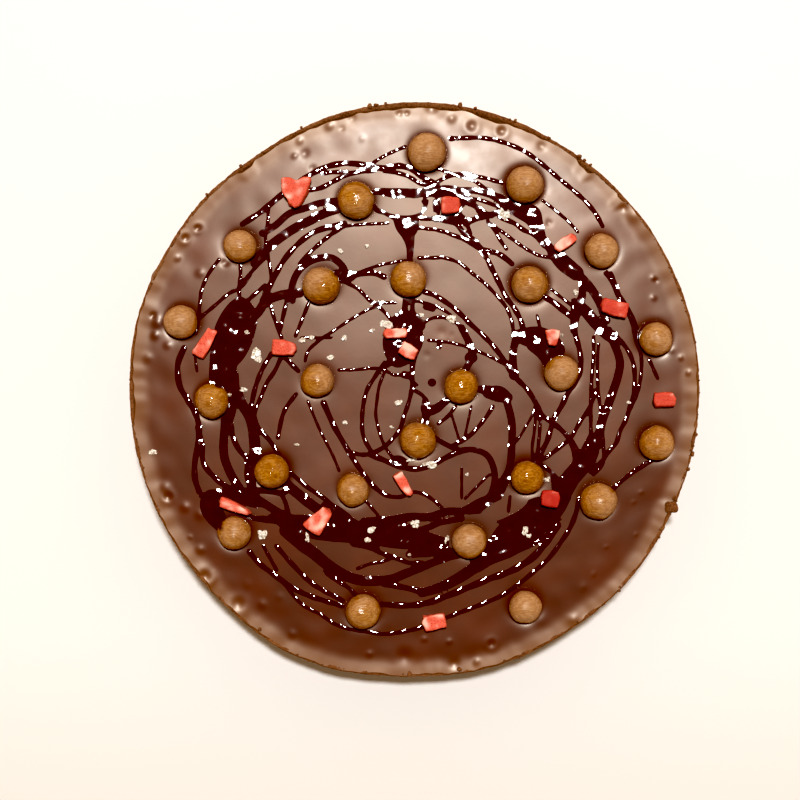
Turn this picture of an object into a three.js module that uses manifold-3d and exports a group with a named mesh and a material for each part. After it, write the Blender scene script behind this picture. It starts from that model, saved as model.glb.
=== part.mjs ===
// A chocolate ganache tart. A crumb crust is filled to the brim with glossy ganache, whole roasted
// hazelnuts are pressed into the ganache, and dice of dried strawberry lie between them.
// Millimetres, +Z up. The tart stands on its flat base, with the origin in the middle of it.

import * as THREE from "three";
import { mergeVertices } from "three/addons/utils/BufferGeometryUtils.js";
import Module from "manifold-3d";

// ---- Driving dimensions ----

const RIM_RADIUS = 114.8; // from a nine-inch tin
const CRUST_HEIGHT = 26;
const FLARE = 3.5; // how much further out the tin's side is at the rim than at the base
const CRUST_FLOOR = 6;
const CRUST_WALL = 5.5;
const BASE_ROUNDING = 1;
const RIM_ROUNDING = 1.2;
const INNER_ROUNDING = 4; // between the floor and the wall
const GANACHE_LEVEL = 25.4;
const LIP_RISE = 1.2; // the ganache climbs the wall as it sets, and laps onto the rim
const LIP_WIDTH = 7;
const BARE_RIM = 1.4; // crust that shows outside the ganache
const GAP = 0.3; // kept between pieces that touch

// The rim isn't a true circle. At a bearing in degrees it swells or draws in by an amount, which
// fades over a width in degrees.
const RIM_SWELLS = [
  { bearing: 80, amount: 0.6, width: 18 },
  { bearing: 124, amount: -1.1, width: 9 },
  { bearing: 150, amount: -0.4, width: 7 },
  { bearing: 165, amount: 0.6, width: 9 },
  { bearing: 247, amount: 3.0, width: 17 },
  { bearing: 286, amount: 1.4, width: 13 },
  { bearing: 316, amount: 0.9, width: 12 },
];
const SWELL_AT_BASE = 0.3; // share of a swell that reaches the base
const RIM_RISE = 0.3; // how far the top of the rim goes up and down
const RIM_WAVES = 5; // in one turn

// The poured ganache isn't quite level. Each swell has a height, a length from crest to crest and the
// bearing in degrees that it runs along.
const POUR_SWELLS = [
  { height: 0.12, length: 107, bearing: 20 },
  { height: 0.08, length: 49, bearing: -45 },
];

// Hazelnuts: X, Y and diameter.
const HAZELNUTS = [
  [5, 95.3, 15.2],
  [44.1, 81.9, 14.8],
  [-23.7, 75.7, 14.8],
  [-70.2, 57.4, 13.2],
  [74.9, 55.6, 13.6],
  [-37.5, 41.5, 15],
  [-2.6, 44.4, 14.4],
  [46.2, 41.9, 14.8],
  [-93.3, 27.1, 13.4],
  [96.5, 20.3, 13.2],
  [58.8, 7, 13.8],
  [-39.1, 3.4, 13.4],
  [18.5, 1, 13.6],
  [-81.3, -4.2, 13.8],
  [96.9, -21.5, 14],
  [1.4, -20.3, 14.4],
  [-57.2, -32.7, 13.8],
  [44.8, -35.1, 13.2],
  [-24.7, -40.1, 13],
  [73.3, -44.8, 14.6],
  [-72.1, -57.4, 13.4],
  [21.9, -60.8, 14],
  [-20.6, -88.9, 14],
  [44.4, -87.1, 13.2],
];
const HAZELNUT_RISE = 0.36; // height of a nut's middle above the ganache, in radii
const HAZELNUT_TIP = 0.07; // how far the tip stands out, in radii
const HAZELNUT_TIP_SPREAD = 0.5; // how broad the tip is, in radians from it
const HAZELNUT_FLAT = 0.06; // how far the rough base is drawn in, in radii
const HAZELNUT_FLAT_SPREAD = 0.7;
const HAZELNUT_LEAN = { least: 10, most: 110 }; // of the tip from upright, in degrees
const HAZELNUT_SIDES = 12;
const HAZELNUT_RINGS = 7;
const DIMPLE_WIDTH = 1.22; // the ganache dips round a nut, out to this many radii
const DIMPLE_DEPTH = 0.29; // from the nut's middle down to where the dimple opens, in radii
const BOWL_BEARING = 35; // the bowl under a nut ends this many degrees below its middle
const DIMPLE_SIDES = 10;

// Strawberry dice: X, Y, length, width, height, turn of the long side from +X, and how wide the far
// end is for a near end of 1.
const STRAWBERRY_DICE = [
  [-47.6, 78.9, 12.5, 10.5, 5, -92, 0.45],
  [14.2, 73.7, 7.8, 6.8, 5.2, 0, 0.95],
  [60.4, 58.8, 10, 4.6, 4.2, 35, 0.9],
  [80.3, 32.5, 11.4, 6.2, 4.6, -14, 1.1],
  [-83.7, 18.7, 12.6, 6.2, 4.4, 60, 0.7],
  [-52.4, 16.5, 9.6, 6.8, 4.6, -6, 0.8],
  [-7.4, 22.5, 9.6, 4, 4.2, 2, 1],
  [-2.4, 15.3, 7.4, 6.2, 5, -28, 0.75],
  [55.2, 20.9, 6.8, 6.6, 5, -90, 0.5],
  [100.1, -4, 8.6, 6.4, 5, 4, 0.9],
  [-4.4, -37.9, 10.6, 4.8, 4.4, -60, 0.7],
  [54.2, -43.8, 7.6, 6.6, 5.2, -4, 1],
  [-71.9, -47, 13.6, 4.8, 4.4, -22, 0.5],
  [-38.3, -52.4, 11.4, 9, 5, 50, 0.55],
  [8, -92.9, 9.6, 6.6, 5, 8, 0.9],
];
const DICE_JITTER = 0.06; // how far a corner is knocked out of place, as a share of the sides
const DICE_CHIPPING = 0.88; // corners are worn in to this share

const SEGMENTS = 54; // round the tart
const CURVE_STEPS = 2;
const SURFACE_RINGS = 3; // from the middle of the ganache to where it climbs

const FINISHES = {
  crust: { color: 0x5a3217, roughness: 0.85, metalness: 0 },
  ganache: { color: 0x672b0c, roughness: 0.25, metalness: 0 },
  hazelnut: { color: 0xbb8248, roughness: 0.5, metalness: 0 },
  strawberry: { color: 0xe4503c, roughness: 0.8, metalness: 0 },
};

// ---- Helpers ----

const radians = THREE.MathUtils.degToRad;

/** A repeatable run of numbers from -1 to 1. */
function randomRun(seed) {
  let step = 0;
  return () => {
    step += 1;
    const turn = Math.sin(seed * 12.9898 + step * 78.233) * 43758.5453;
    return 2 * (turn - Math.floor(turn)) - 1;
  };
}

/** Only the positions of a geometry, with the vertices that faces share merged. */
function bare(geometry) {
  geometry.deleteAttribute("normal");
  geometry.deleteAttribute("uv");
  return mergeVertices(geometry);
}

/** Moves every vertex of a geometry by a function that changes a point in place. */
function mould(geometry, change) {
  const positions = geometry.attributes.position;
  const point = new THREE.Vector3();
  for (let i = 0; i < positions.count; i++) {
    change(point.fromBufferAttribute(positions, i));
    positions.setXYZ(i, point.x, point.y, point.z);
  }
  return geometry;
}

/** Revolves a profile of distance and height about a vertical axis. */
function turned(profile, sides) {
  const lathe = new THREE.LatheGeometry(profile.getPoints(CURVE_STEPS), sides);
  return bare(lathe.rotateX(Math.PI / 2));
}

const wasm = await Module();
wasm.setup();

/** A closed geometry as a solid that can be cut. */
function solidOf(geometry) {
  const vertProperties = new Float32Array(geometry.attributes.position.array);
  const triVerts = new Uint32Array(geometry.index.array);
  return new wasm.Manifold(new wasm.Mesh({ numProp: 3, vertProperties, triVerts }));
}

/** A cut solid as a geometry again. */
function geometryOf(solid) {
  const { vertProperties, triVerts } = solid.getMesh();
  return new THREE.BufferGeometry()
    .setAttribute("position", new THREE.BufferAttribute(vertProperties, 3))
    .setIndex(new THREE.BufferAttribute(triVerts, 1));
}

/** One named piece, numbered where there are several of its kind. */
function piece(kind, geometry, index) {
  geometry.computeVertexNormals();
  const mesh = new THREE.Mesh(geometry, new THREE.MeshStandardMaterial(FINISHES[kind]));
  mesh.name = index === undefined ? kind : `${kind}_${String(index + 1).padStart(2, "0")}`;
  return mesh;
}

// ---- The tin's uneven outline, shared by the crust and the ganache ----

/** How far the rim stands out from a true circle at a bearing in degrees. */
function swellAt(bearing) {
  return RIM_SWELLS.reduce((sum, swell) => {
    const away = THREE.MathUtils.euclideanModulo(bearing - swell.bearing + 180, 360) - 180;
    return sum + swell.amount * Math.exp(-((away / swell.width) ** 2));
  }, 0);
}

/** Moves a point of a round tart to its place in the uneven one. */
function pressIntoTin(point) {
  const angle = Math.atan2(point.y, point.x);
  const distance = Math.hypot(point.x, point.y);
  const height = Math.min(point.z / CRUST_HEIGHT, 1);
  const share = THREE.MathUtils.lerp(SWELL_AT_BASE, 1, height);
  const stretch = 1 + (swellAt(THREE.MathUtils.radToDeg(angle)) * share) / RIM_RADIUS;
  point.x *= stretch;
  point.y *= stretch;
  const nearRim =
    THREE.MathUtils.smoothstep(distance, RIM_RADIUS - 2 * LIP_WIDTH, RIM_RADIUS - CRUST_WALL) *
    THREE.MathUtils.smoothstep(height, 0.6, 1);
  point.z += RIM_RISE * nearRim * Math.sin(RIM_WAVES * angle) * Math.cos((RIM_WAVES + 2) * angle);
}

/** The slow unevenness of the poured ganache, which dies away towards the rim. */
function pourAt(x, y) {
  const inside = THREE.MathUtils.smoothstep(RIM_RADIUS - Math.hypot(x, y), LIP_WIDTH, 3 * LIP_WIDTH);
  return POUR_SWELLS.reduce((sum, { height, length, bearing }) => {
    const along = x * Math.cos(radians(bearing)) + y * Math.sin(radians(bearing));
    return sum + inside * height * Math.sin((2 * Math.PI * along) / length);
  }, 0);
}

// ---- Crust ----

const BASE_RADIUS = RIM_RADIUS - FLARE;
const SHOULDER = 0.9 * CRUST_HEIGHT; // above this the inside of the wall opens out to the rim

const outsideAt = (height) => BASE_RADIUS + (FLARE * height) / CRUST_HEIGHT;
const insideAt = (height) => outsideAt(height) - CRUST_WALL;

function crust() {
  const innerFoot = CRUST_FLOOR + INNER_ROUNDING;
  const floorEdge = insideAt(CRUST_FLOOR) - INNER_ROUNDING;
  const profile = new THREE.Path();
  profile.moveTo(0, 0);
  profile.lineTo(BASE_RADIUS - BASE_ROUNDING, 0);
  profile.quadraticCurveTo(BASE_RADIUS, 0, outsideAt(BASE_ROUNDING), BASE_ROUNDING);
  profile.lineTo(outsideAt(CRUST_HEIGHT / 2), CRUST_HEIGHT / 2);
  profile.lineTo(outsideAt(CRUST_HEIGHT - RIM_ROUNDING), CRUST_HEIGHT - RIM_ROUNDING);
  profile.quadraticCurveTo(RIM_RADIUS, CRUST_HEIGHT, RIM_RADIUS - RIM_ROUNDING, CRUST_HEIGHT);
  profile.quadraticCurveTo(insideAt(CRUST_HEIGHT), CRUST_HEIGHT, insideAt(SHOULDER), SHOULDER);
  profile.lineTo(insideAt(innerFoot), innerFoot);
  profile.quadraticCurveTo(insideAt(CRUST_FLOOR), CRUST_FLOOR, floorEdge, CRUST_FLOOR);
  profile.lineTo(0, CRUST_FLOOR);
  return mould(turned(profile, SEGMENTS), pressIntoTin);
}

// ---- Ganache ----

/** The ganache as poured, before the nuts are pressed in. */
function pouredGanache() {
  const floor = CRUST_FLOOR + GAP;
  const foot = floor + INNER_ROUNDING;
  const lip = CRUST_HEIGHT + GAP;
  const edge = RIM_RADIUS - BARE_RIM;
  const flat = edge - LIP_WIDTH;
  const profile = new THREE.Path();
  profile.moveTo(0, floor);
  profile.lineTo(insideAt(floor) - INNER_ROUNDING - GAP, floor);
  profile.quadraticCurveTo(insideAt(floor) - GAP, floor, insideAt(foot) - GAP, foot);
  profile.lineTo(insideAt(SHOULDER) - GAP, SHOULDER + GAP);
  profile.quadraticCurveTo(insideAt(lip) - GAP, lip, edge, lip);
  profile.lineTo(edge, GANACHE_LEVEL + LIP_RISE);
  profile.quadraticCurveTo(edge - LIP_WIDTH / 3, GANACHE_LEVEL, flat, GANACHE_LEVEL);
  for (let ring = SURFACE_RINGS - 1; ring >= 0; ring--)
    profile.lineTo((flat * ring) / SURFACE_RINGS, GANACHE_LEVEL);
  return mould(mould(turned(profile, SEGMENTS), pressIntoTin), (point) => {
    if (point.z > SHOULDER) point.z += pourAt(point.x, point.y);
  });
}

/** What a nut pushes aside: a bowl under the nut that opens into a shallow dimple. */
function socket(diameter) {
  const radius = diameter / 2;
  const bowl = (radius * (1 + HAZELNUT_TIP) + GAP) / Math.cos(Math.PI / DIMPLE_SIDES);
  const mouth = -DIMPLE_DEPTH * radius;
  const profile = new THREE.Path();
  profile.absarc(0, 0, bowl, -Math.PI / 2, -radians(BOWL_BEARING), false);
  profile.lineTo(DIMPLE_WIDTH * bowl, mouth);
  profile.lineTo(DIMPLE_WIDTH * bowl, 0);
  profile.lineTo(0, 0);
  return turned(profile, DIMPLE_SIDES);
}

// ---- Hazelnuts ----

/** A nut about its own middle, with its tip up. */
function hazelnut(diameter) {
  const up = new THREE.Vector3(0, 0, 1);
  const sphere = new THREE.SphereGeometry(diameter / 2, HAZELNUT_SIDES, HAZELNUT_RINGS);
  return mould(bare(sphere.rotateX(Math.PI / 2)), (point) => {
    const fromTip = point.angleTo(up);
    const fromBase = Math.PI - fromTip;
    const tip = HAZELNUT_TIP * Math.exp(-((fromTip / HAZELNUT_TIP_SPREAD) ** 2));
    const flat = HAZELNUT_FLAT * Math.exp(-((fromBase / HAZELNUT_FLAT_SPREAD) ** 2));
    point.multiplyScalar(1 + tip - flat);
  });
}

// ---- Strawberry dice ----

/** One knocked-about block of dried strawberry, standing on z = 0. */
function strawberry(length, width, height, farEnd, seed) {
  const random = randomRun(seed);
  const block = bare(new THREE.BoxGeometry(length, width, height, 2, 2, 1));
  return mould(block.translate(0, 0, height / 2), (point) => {
    const isCorner = Math.abs(point.x) > length / 4 && Math.abs(point.y) > width / 4;
    const wear = isCorner ? DICE_CHIPPING : 1;
    const narrowing = THREE.MathUtils.lerp(1, farEnd, point.x / length + 0.5);
    point.x = wear * point.x + DICE_JITTER * length * random();
    point.y = wear * narrowing * point.y + DICE_JITTER * width * random();
    if (point.z > 0) point.z += DICE_JITTER * height * random();
  });
}

// ---- The tart ----

function tart() {
  const group = new THREE.Group();
  group.add(piece("crust", crust()));

  const random = randomRun(HAZELNUTS.length);
  let ganache = solidOf(pouredGanache());
  HAZELNUTS.forEach(([x, y, diameter], index) => {
    const z = GANACHE_LEVEL + pourAt(x, y) + (HAZELNUT_RISE * diameter) / 2;
    ganache = ganache.subtract(solidOf(socket(diameter).translate(x, y, z)));
    const nut = piece("hazelnut", hazelnut(diameter), index);
    nut.position.set(x, y, z);
    const leaning = THREE.MathUtils.mapLinear(random(), -1, 1, HAZELNUT_LEAN.least, HAZELNUT_LEAN.most);
    nut.rotation.set(radians(leaning), 0, Math.PI * random(), "ZXY");
    group.add(nut);
  });
  group.add(piece("ganache", geometryOf(ganache)));

  STRAWBERRY_DICE.forEach(([x, y, length, width, height, turn, farEnd], index) => {
    const dice = strawberry(length, width, height, farEnd, index + 1);
    const mesh = piece("strawberry", dice, index);
    mesh.position.set(x, y, GANACHE_LEVEL + pourAt(x, y) + GAP);
    mesh.rotation.z = radians(turn);
    group.add(mesh);
  });

  // However the rim swells, the origin stays in the middle of the box round the tart.
  const middle = new THREE.Box3().setFromObject(group).getCenter(new THREE.Vector3());
  group.position.set(-middle.x, -middle.y, 0);
  return group;
}

export default tart();
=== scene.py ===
"""Looks of a chocolate ganache tart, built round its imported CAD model.

A chocolate crumb crust is filled with glossy ganache. Whole roasted hazelnuts are pressed into the
ganache, dice of dried strawberry lie on it, and dark caramel is swirled over it in threads that run
together into pools, with salt flakes on top. The CAD model gives the sizes and places of the crust, the
ganache, the nuts and the fruit. Sizes here are in millimetres unless a name says otherwise.
"""

from __future__ import annotations

import logging
import math
import random
from dataclasses import dataclass, field
from enum import Enum

import bmesh
import bpy
import numpy as np
from bmesh.types import BMEdge, BMesh, BMVert
from bpy.types import Material, Node, NodeSocket, NodeTree, Object
from mathutils import Euler, Matrix, Vector, noise
from mathutils.bvhtree import BVHTree

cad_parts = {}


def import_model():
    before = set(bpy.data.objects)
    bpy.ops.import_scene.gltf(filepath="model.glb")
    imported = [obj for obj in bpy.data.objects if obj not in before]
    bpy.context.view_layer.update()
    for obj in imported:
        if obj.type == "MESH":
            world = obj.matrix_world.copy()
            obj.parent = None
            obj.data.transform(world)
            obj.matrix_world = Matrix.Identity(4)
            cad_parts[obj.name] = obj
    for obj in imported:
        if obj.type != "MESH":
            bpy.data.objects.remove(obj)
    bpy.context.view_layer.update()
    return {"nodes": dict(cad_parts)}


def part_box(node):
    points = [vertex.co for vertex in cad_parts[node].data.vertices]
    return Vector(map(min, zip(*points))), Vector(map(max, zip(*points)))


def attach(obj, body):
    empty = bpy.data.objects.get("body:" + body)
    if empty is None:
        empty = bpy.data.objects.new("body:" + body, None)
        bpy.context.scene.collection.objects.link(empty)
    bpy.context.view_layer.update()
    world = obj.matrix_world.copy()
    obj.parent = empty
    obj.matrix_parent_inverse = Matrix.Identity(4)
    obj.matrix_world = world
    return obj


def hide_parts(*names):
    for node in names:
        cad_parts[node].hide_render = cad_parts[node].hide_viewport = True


LOG = logging.getLogger("tart")

MM = 0.001
BODY = "root"
FULL_TURN = 2 * math.pi
TINY = 1e-6  # keeps a division away from zero

Array = np.ndarray
Point = tuple[float, float]
Sized = tuple[float, float, float]
Stop = tuple[float, str]  # a place along a colour ramp, and its colour


class Slot(Enum):
    """The record's material slots."""

    CRUST = "crust"
    GANACHE = "ganache"
    HAZELNUT = "hazelnut"
    STRAWBERRY = "strawberry"


# ---- Helpers for meshes ----


def corners_of(node: Object) -> Array:
    """The corners of a CAD node's mesh, in millimetres."""
    flat = np.empty(len(node.data.vertices) * 3, np.float32)
    node.data.vertices.foreach_get("co", flat)
    return flat.reshape(-1, 3).astype(float) / MM


def places_of(mesh: BMesh) -> Array:
    """The places of a mesh's vertices as rows of X, Y and Z."""
    return np.array([vert.co for vert in mesh.verts], float).reshape(-1, 3)


def place(mesh: BMesh, places: Array) -> None:
    """Puts a mesh's vertices at rows of X, Y and Z."""
    for vert, where in zip(mesh.verts, places.tolist()):
        vert.co = where


def record(mesh: BMesh, name: str, values: Array) -> None:
    """Stores a value from 0 to 1 with each of a mesh's vertices, for a material to read."""
    layer = mesh.verts.layers.float.new(name)
    for vert, value in zip(mesh.verts, np.clip(values, 0, 1).tolist()):
        vert[layer] = value


SEED_STEPS = (7.31, 3.17, 5.53)  # how far apart in the noise two reliefs are taken from
OCTAVE_FADE, OCTAVE_STEP = 0.9, 2.1  # how much fainter and finer each layer is


def bumpiness(places: Array, size: float, seed: float, octaves: int = 1) -> Array:
    """Smooth random relief, from about -1 to 1.

    Args:
        places: Rows of X, Y and Z.
        size: How far apart the bumps are.
        seed: Picks one relief out of many.
        octaves: How many layers of bumps are in it, each finer than the last.

    Returns:
        The relief at each place.
    """
    shift = Vector([seed * step for step in SEED_STEPS])
    points = (Vector(where) / size + shift for where in places.tolist())
    if octaves == 1:
        return np.array([noise.noise(point) for point in points])
    return np.array([noise.fractal(point, OCTAVE_FADE, OCTAVE_STEP, octaves) for point in points])


def waves(x: Array, y: Array, shortest: float, longest: float, seed: int) -> Array:
    """Even, slow undulation made of waves that run every way.

    Args:
        x: Where it is wanted.
        y: Where it is wanted.
        shortest: Length of the shortest wave.
        longest: Length of the longest wave.
        seed: Picks one undulation out of many.

    Returns:
        The undulation at each place, with a root mean square of 1.
    """
    draw = random.Random(seed)
    count = 28
    total = np.zeros_like(x, float)
    for _ in range(count):
        length = draw.uniform(shortest, longest)
        bearing = draw.uniform(0, FULL_TURN)
        along = x * math.cos(bearing) + y * math.sin(bearing)
        total += np.sin(FULL_TURN * along / length + draw.uniform(0, FULL_TURN))
    return total * math.sqrt(2 / count)


def smoothstep(low: float, high: float, value: Array) -> Array:
    """Goes smoothly from 0 at low to 1 at high."""
    share = np.clip((value - low) / (high - low), 0, 1)
    return share * share * (3 - 2 * share)


def smooth_path(points: Array, spacing: float) -> Array:
    """A smooth path through points.

    Args:
        points: Rows of X, Y and anything that changes along the path, such as its width.
        spacing: Distance from one point of the path to the next.

    Returns:
        The rows of the path.
    """
    chords = np.hypot(*np.diff(points[:, :2], axis=0).T)
    reach = np.concatenate([[0], np.cumsum(chords)])
    tangents = np.gradient(points, reach, axis=0)
    steps = np.linspace(0, reach[-1], max(2, round(reach[-1] / spacing) + 1))
    leg = np.clip(np.searchsorted(reach, steps, "right") - 1, 0, len(points) - 2)
    chord = chords[leg][:, None]
    t = (steps - reach[leg])[:, None] / chord
    start, end = points[leg], points[leg + 1]
    leaving, arriving = tangents[leg] * chord, tangents[leg + 1] * chord
    near = 2 * t**3 - 3 * t**2 + 1
    return near * start + (1 - near) * end + (t**3 - 2 * t**2 + t) * leaving + (t**3 - t**2) * arriving


def densify(corners: list[Point], longest: float) -> list[Point]:
    """Adds points along a line of corners so that no step is longer than a length."""
    points = [corners[0]]
    for start, end in zip(corners, corners[1:]):
        steps = max(1, math.ceil(math.dist(start, end) / longest))
        for i in range(1, steps + 1):
            share = i / steps
            points.append((start[0] + (end[0] - start[0]) * share, start[1] + (end[1] - start[1]) * share))
    return points


def add_object(name: str, data: bpy.types.ID) -> Object:
    """Adds an object to the scene."""
    added = bpy.data.objects.new(name, data)
    bpy.context.scene.collection.objects.link(added)
    return added


def make_piece(
    name: str, mesh: BMesh, material: Material, nodes: tuple[str, ...] = (),
    smooth: bool = True,
) -> Object:
    """Turns a mesh in millimetres into a piece of the tart.

    Args:
        name: The piece's name.
        mesh: Its shape, which is freed.
        material: Its finish.
        nodes: The CAD nodes that it stands for.
        smooth: Whether its faces are shaded as one round surface.

    Returns:
        The piece.
    """
    mesh.transform(Matrix.Scale(MM, 4))
    for face in mesh.faces:
        face.smooth = smooth
    data = bpy.data.meshes.new(name)
    mesh.to_mesh(data)
    mesh.free()
    data.materials.append(material)
    piece = add_object(name, data)
    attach(piece, BODY)
    if nodes:
        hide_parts(*nodes)
    LOG.info("%s: %d faces", name, len(data.polygons))
    return piece


# ---- Finishes ----


def linear(code: str) -> tuple[float, float, float, float]:
    """An sRGB hex colour as linear red, green, blue and alpha."""
    channels = (int(code[i : i + 2], 16) / 255 for i in (1, 3, 5))
    return (*(c / 12.92 if c <= 0.04045 else ((c + 0.055) / 1.055) ** 2.4 for c in channels), 1.0)


def per_metre(size: float) -> float:
    """The scale of a pattern on Object coordinates whose features are a size in millimetres."""
    return 1 / (size * MM)


def add_node(
    tree: NodeTree, kind: str, values: dict[str | int, object] | None = None,
    links: dict[str | int, NodeSocket] | None = None, **settings: object,
) -> Node:
    """Adds a node.

    Args:
        tree: The tree that it goes in.
        kind: The node's type, without the ShaderNode in front of it.
        values: Values of its input sockets, by name or place.
        links: Output sockets that feed its input sockets, by name or place.
        **settings: Its own properties.

    Returns:
        The node.
    """
    node = tree.nodes.new(f"ShaderNode{kind}")
    for name, value in settings.items():
        setattr(node, name, value)
    for key, value in (values or {}).items():
        node.inputs[key].default_value = value
    for key, socket in (links or {}).items():
        tree.links.new(socket, node.inputs[key])
    return node


MIX_FACTOR, MIX_FIRST, MIX_SECOND, MIX_RESULT = 0, 6, 7, 2  # sockets of a Mix node that mixes colours
GLAZE = "glaze"  # how thick the amber glaze on a nut is
CARAMEL = "caramel"  # how much dark caramel covers a nut
FLESH_AND_LIGHT = "flesh"  # how much of the pale inside of the fruit shows, together with painted light on its top and lamp-facing back
RIPE = "ripe"  # how deep a red the fruit is
RIM_PALENESS = "thin"  # how much paler the ganache is towards the crust's rim


@dataclass(frozen=True)
class Finish:
    """What every food's surface has."""

    name: str
    roughness: float
    ior: float

    def start(self) -> tuple[Material, NodeTree, Node, NodeSocket]:
        """Makes the material with its shader.

        Returns:
            The material, its tree, its shader and the socket with Object coordinates.
        """
        material = bpy.data.materials.new(self.name)
        material.use_nodes = True
        tree = material.node_tree
        tree.nodes.clear()
        shader = add_node(tree, "BsdfPrincipled", {"Roughness": self.roughness, "IOR": self.ior})
        add_node(tree, "OutputMaterial", links={"Surface": shader.outputs["BSDF"]})
        coordinates = add_node(tree, "TexCoord")
        return material, tree, shader, coordinates.outputs["Object"]


@dataclass(frozen=True)
class BakedCrumb(Finish):
    """Chocolate biscuit crumb, pressed and baked: matt and gritty, with gaps between pale grains darkened by
    their own colour and by painted shade.
    """

    grain: float = 1.3
    cloud: float = 6.0
    crumb: tuple[Stop, Stop] = ((0.32, "#5e3a1e"), (0.55, "#8f5e38"))  # its gaps, darker partly with painted shade, and its grains
    pale: str = "#a97a50"
    pale_range: Point = (0.5, 0.75)  # of the clouds, from a pale patch's edge to its middle
    palest: float = 0.6  # share of the pale colour in its middle
    relief: float = 0.35
    relief_strength: float = 0.8

    def material(self) -> Material:
        """Makes the material."""
        material, tree, shader, where = self.start()
        grains = add_node(tree, "TexVoronoi", {"Scale": per_metre(self.grain)}, {"Vector": where})
        clouds, fine = (
            add_node(tree, "TexNoise", {"Scale": per_metre(size), "Detail": detail}, {"Vector": where})
            for size, detail in ((self.cloud, 4.0), (self.grain / 2, 3.0))
        )
        ramp = add_node(tree, "ValToRGB", links={"Fac": fine.outputs["Fac"]})
        for stop, (position, code) in zip(ramp.color_ramp.elements, self.crumb):
            stop.position, stop.color = position, linear(code)
        low, high = self.pale_range
        patches = add_node(
            tree, "MapRange", {"From Min": low, "From Max": high, "To Max": self.palest},
            {"Value": clouds.outputs["Fac"]},
        )
        colour = add_node(
            tree, "Mix", {MIX_SECOND: linear(self.pale)},
            {MIX_FACTOR: patches.outputs["Result"], MIX_FIRST: ramp.outputs["Color"]}, data_type="RGBA",
        )
        tree.links.new(colour.outputs[MIX_RESULT], shader.inputs["Base Color"])
        height = add_node(
            tree, "Math", links={0: fine.outputs["Fac"], 1: grains.outputs["Distance"]},
            operation="SUBTRACT",
        )
        bump = add_node(
            tree, "Bump", {"Strength": self.relief_strength, "Distance": self.relief * MM},
            {"Height": height.outputs["Value"]},
        )
        tree.links.new(bump.outputs["Normal"], shader.inputs["Normal"])
        return material


@dataclass(frozen=True)
class SetGanache(Finish):
    """Ganache that was poured and has set: satin cocoa fat, glossier in the ring that was left alone."""

    cloud: float = 17.0
    cocoa: tuple[Stop, Stop] = ((0.35, "#5e2903"), (0.7, "#6a3009"))
    paler_rim: str = "#7a4710"
    fat_tint: str = "#ffefdc"
    ripple: float = 2.4
    relief: float = 0.006
    ring_start: float = 80.0  # how far out the glossier ring begins and is full
    ring_full: float = 96.0
    ring_patch: float = 22.0  # size of the bays in the ring's border
    ring_wander: float = 40.0  # from the deepest to the shallowest
    skin: float = 0.06  # how much of a glossy skin the ring has
    skin_roughness: float = 0.2
    skin_patch: float = 9.0
    skin_range: Point = (0.35, 0.65)  # of the patches, for the thinnest and thickest skin
    skin_shares: Point = (0.3, 1.7)  # its shares there

    def material(self) -> Material:
        """Makes the material."""
        material, tree, shader, where = self.start()
        shader.inputs["Specular Tint"].default_value = linear(self.fat_tint)
        shader.inputs["Coat Roughness"].default_value = self.skin_roughness
        patches, clouds, ripples = (
            add_node(tree, "TexNoise", {"Scale": per_metre(size), "Detail": detail}, {"Vector": where})
            for size, detail in ((self.skin_patch, 3.0), (self.cloud, 3.0), (self.ripple, 2.0))
        )
        least, most = (share * self.skin for share in self.skin_shares)
        low, high = self.skin_range
        gloss = add_node(
            tree, "MapRange", {"From Min": low, "From Max": high, "To Min": least, "To Max": most},
            {"Value": patches.outputs["Fac"]},
        )
        skin = add_node(
            tree, "Math", links={0: gloss.outputs["Result"], 1: self.ring(tree, where)},
            operation="MULTIPLY",
        )
        tree.links.new(skin.outputs["Value"], shader.inputs["Coat Weight"])
        ramp = add_node(tree, "ValToRGB", links={"Fac": clouds.outputs["Fac"]})
        for stop, (position, code) in zip(ramp.color_ramp.elements, self.cocoa):
            stop.position, stop.color = position, linear(code)
        thin = add_node(tree, "Attribute", attribute_name=RIM_PALENESS)
        colour = add_node(
            tree, "Mix", {MIX_SECOND: linear(self.paler_rim)},
            {MIX_FACTOR: thin.outputs["Fac"], MIX_FIRST: ramp.outputs["Color"]}, data_type="RGBA",
        )
        tree.links.new(colour.outputs[MIX_RESULT], shader.inputs["Base Color"])
        bump = add_node(
            tree, "Bump", {"Strength": 1.0, "Distance": self.relief * MM},
            {"Height": ripples.outputs["Fac"]},
        )
        tree.links.new(bump.outputs["Normal"], shader.inputs["Normal"])
        return material

    def ring(self, tree: NodeTree, where: NodeSocket) -> NodeSocket:
        """How far into the glossier ring a place is, from 0 to 1, with a ragged border.

        Args:
            tree: The material's tree.
            where: The socket with Object coordinates.

        Returns:
            The socket with the share.
        """
        flat = add_node(tree, "VectorMath", {1: (1.0, 1.0, 0.0)}, {0: where}, operation="MULTIPLY")
        radius = add_node(tree, "VectorMath", links={0: flat.outputs["Vector"]}, operation="LENGTH")
        bays = add_node(
            tree, "TexNoise", {"Scale": per_metre(self.ring_patch), "Detail": 2.0}, {"Vector": where},
        )
        shift = add_node(
            tree, "Math", {1: self.ring_wander * MM}, {0: bays.outputs["Fac"], 2: radius.outputs["Value"]},
            operation="MULTIPLY_ADD",
        )
        start, full = (edge + self.ring_wander / 2 for edge in (self.ring_start, self.ring_full))
        share = add_node(
            tree, "MapRange", {"From Min": start * MM, "From Max": full * MM},
            {"Value": shift.outputs["Value"]},
        )
        return share.outputs["Result"]


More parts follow.
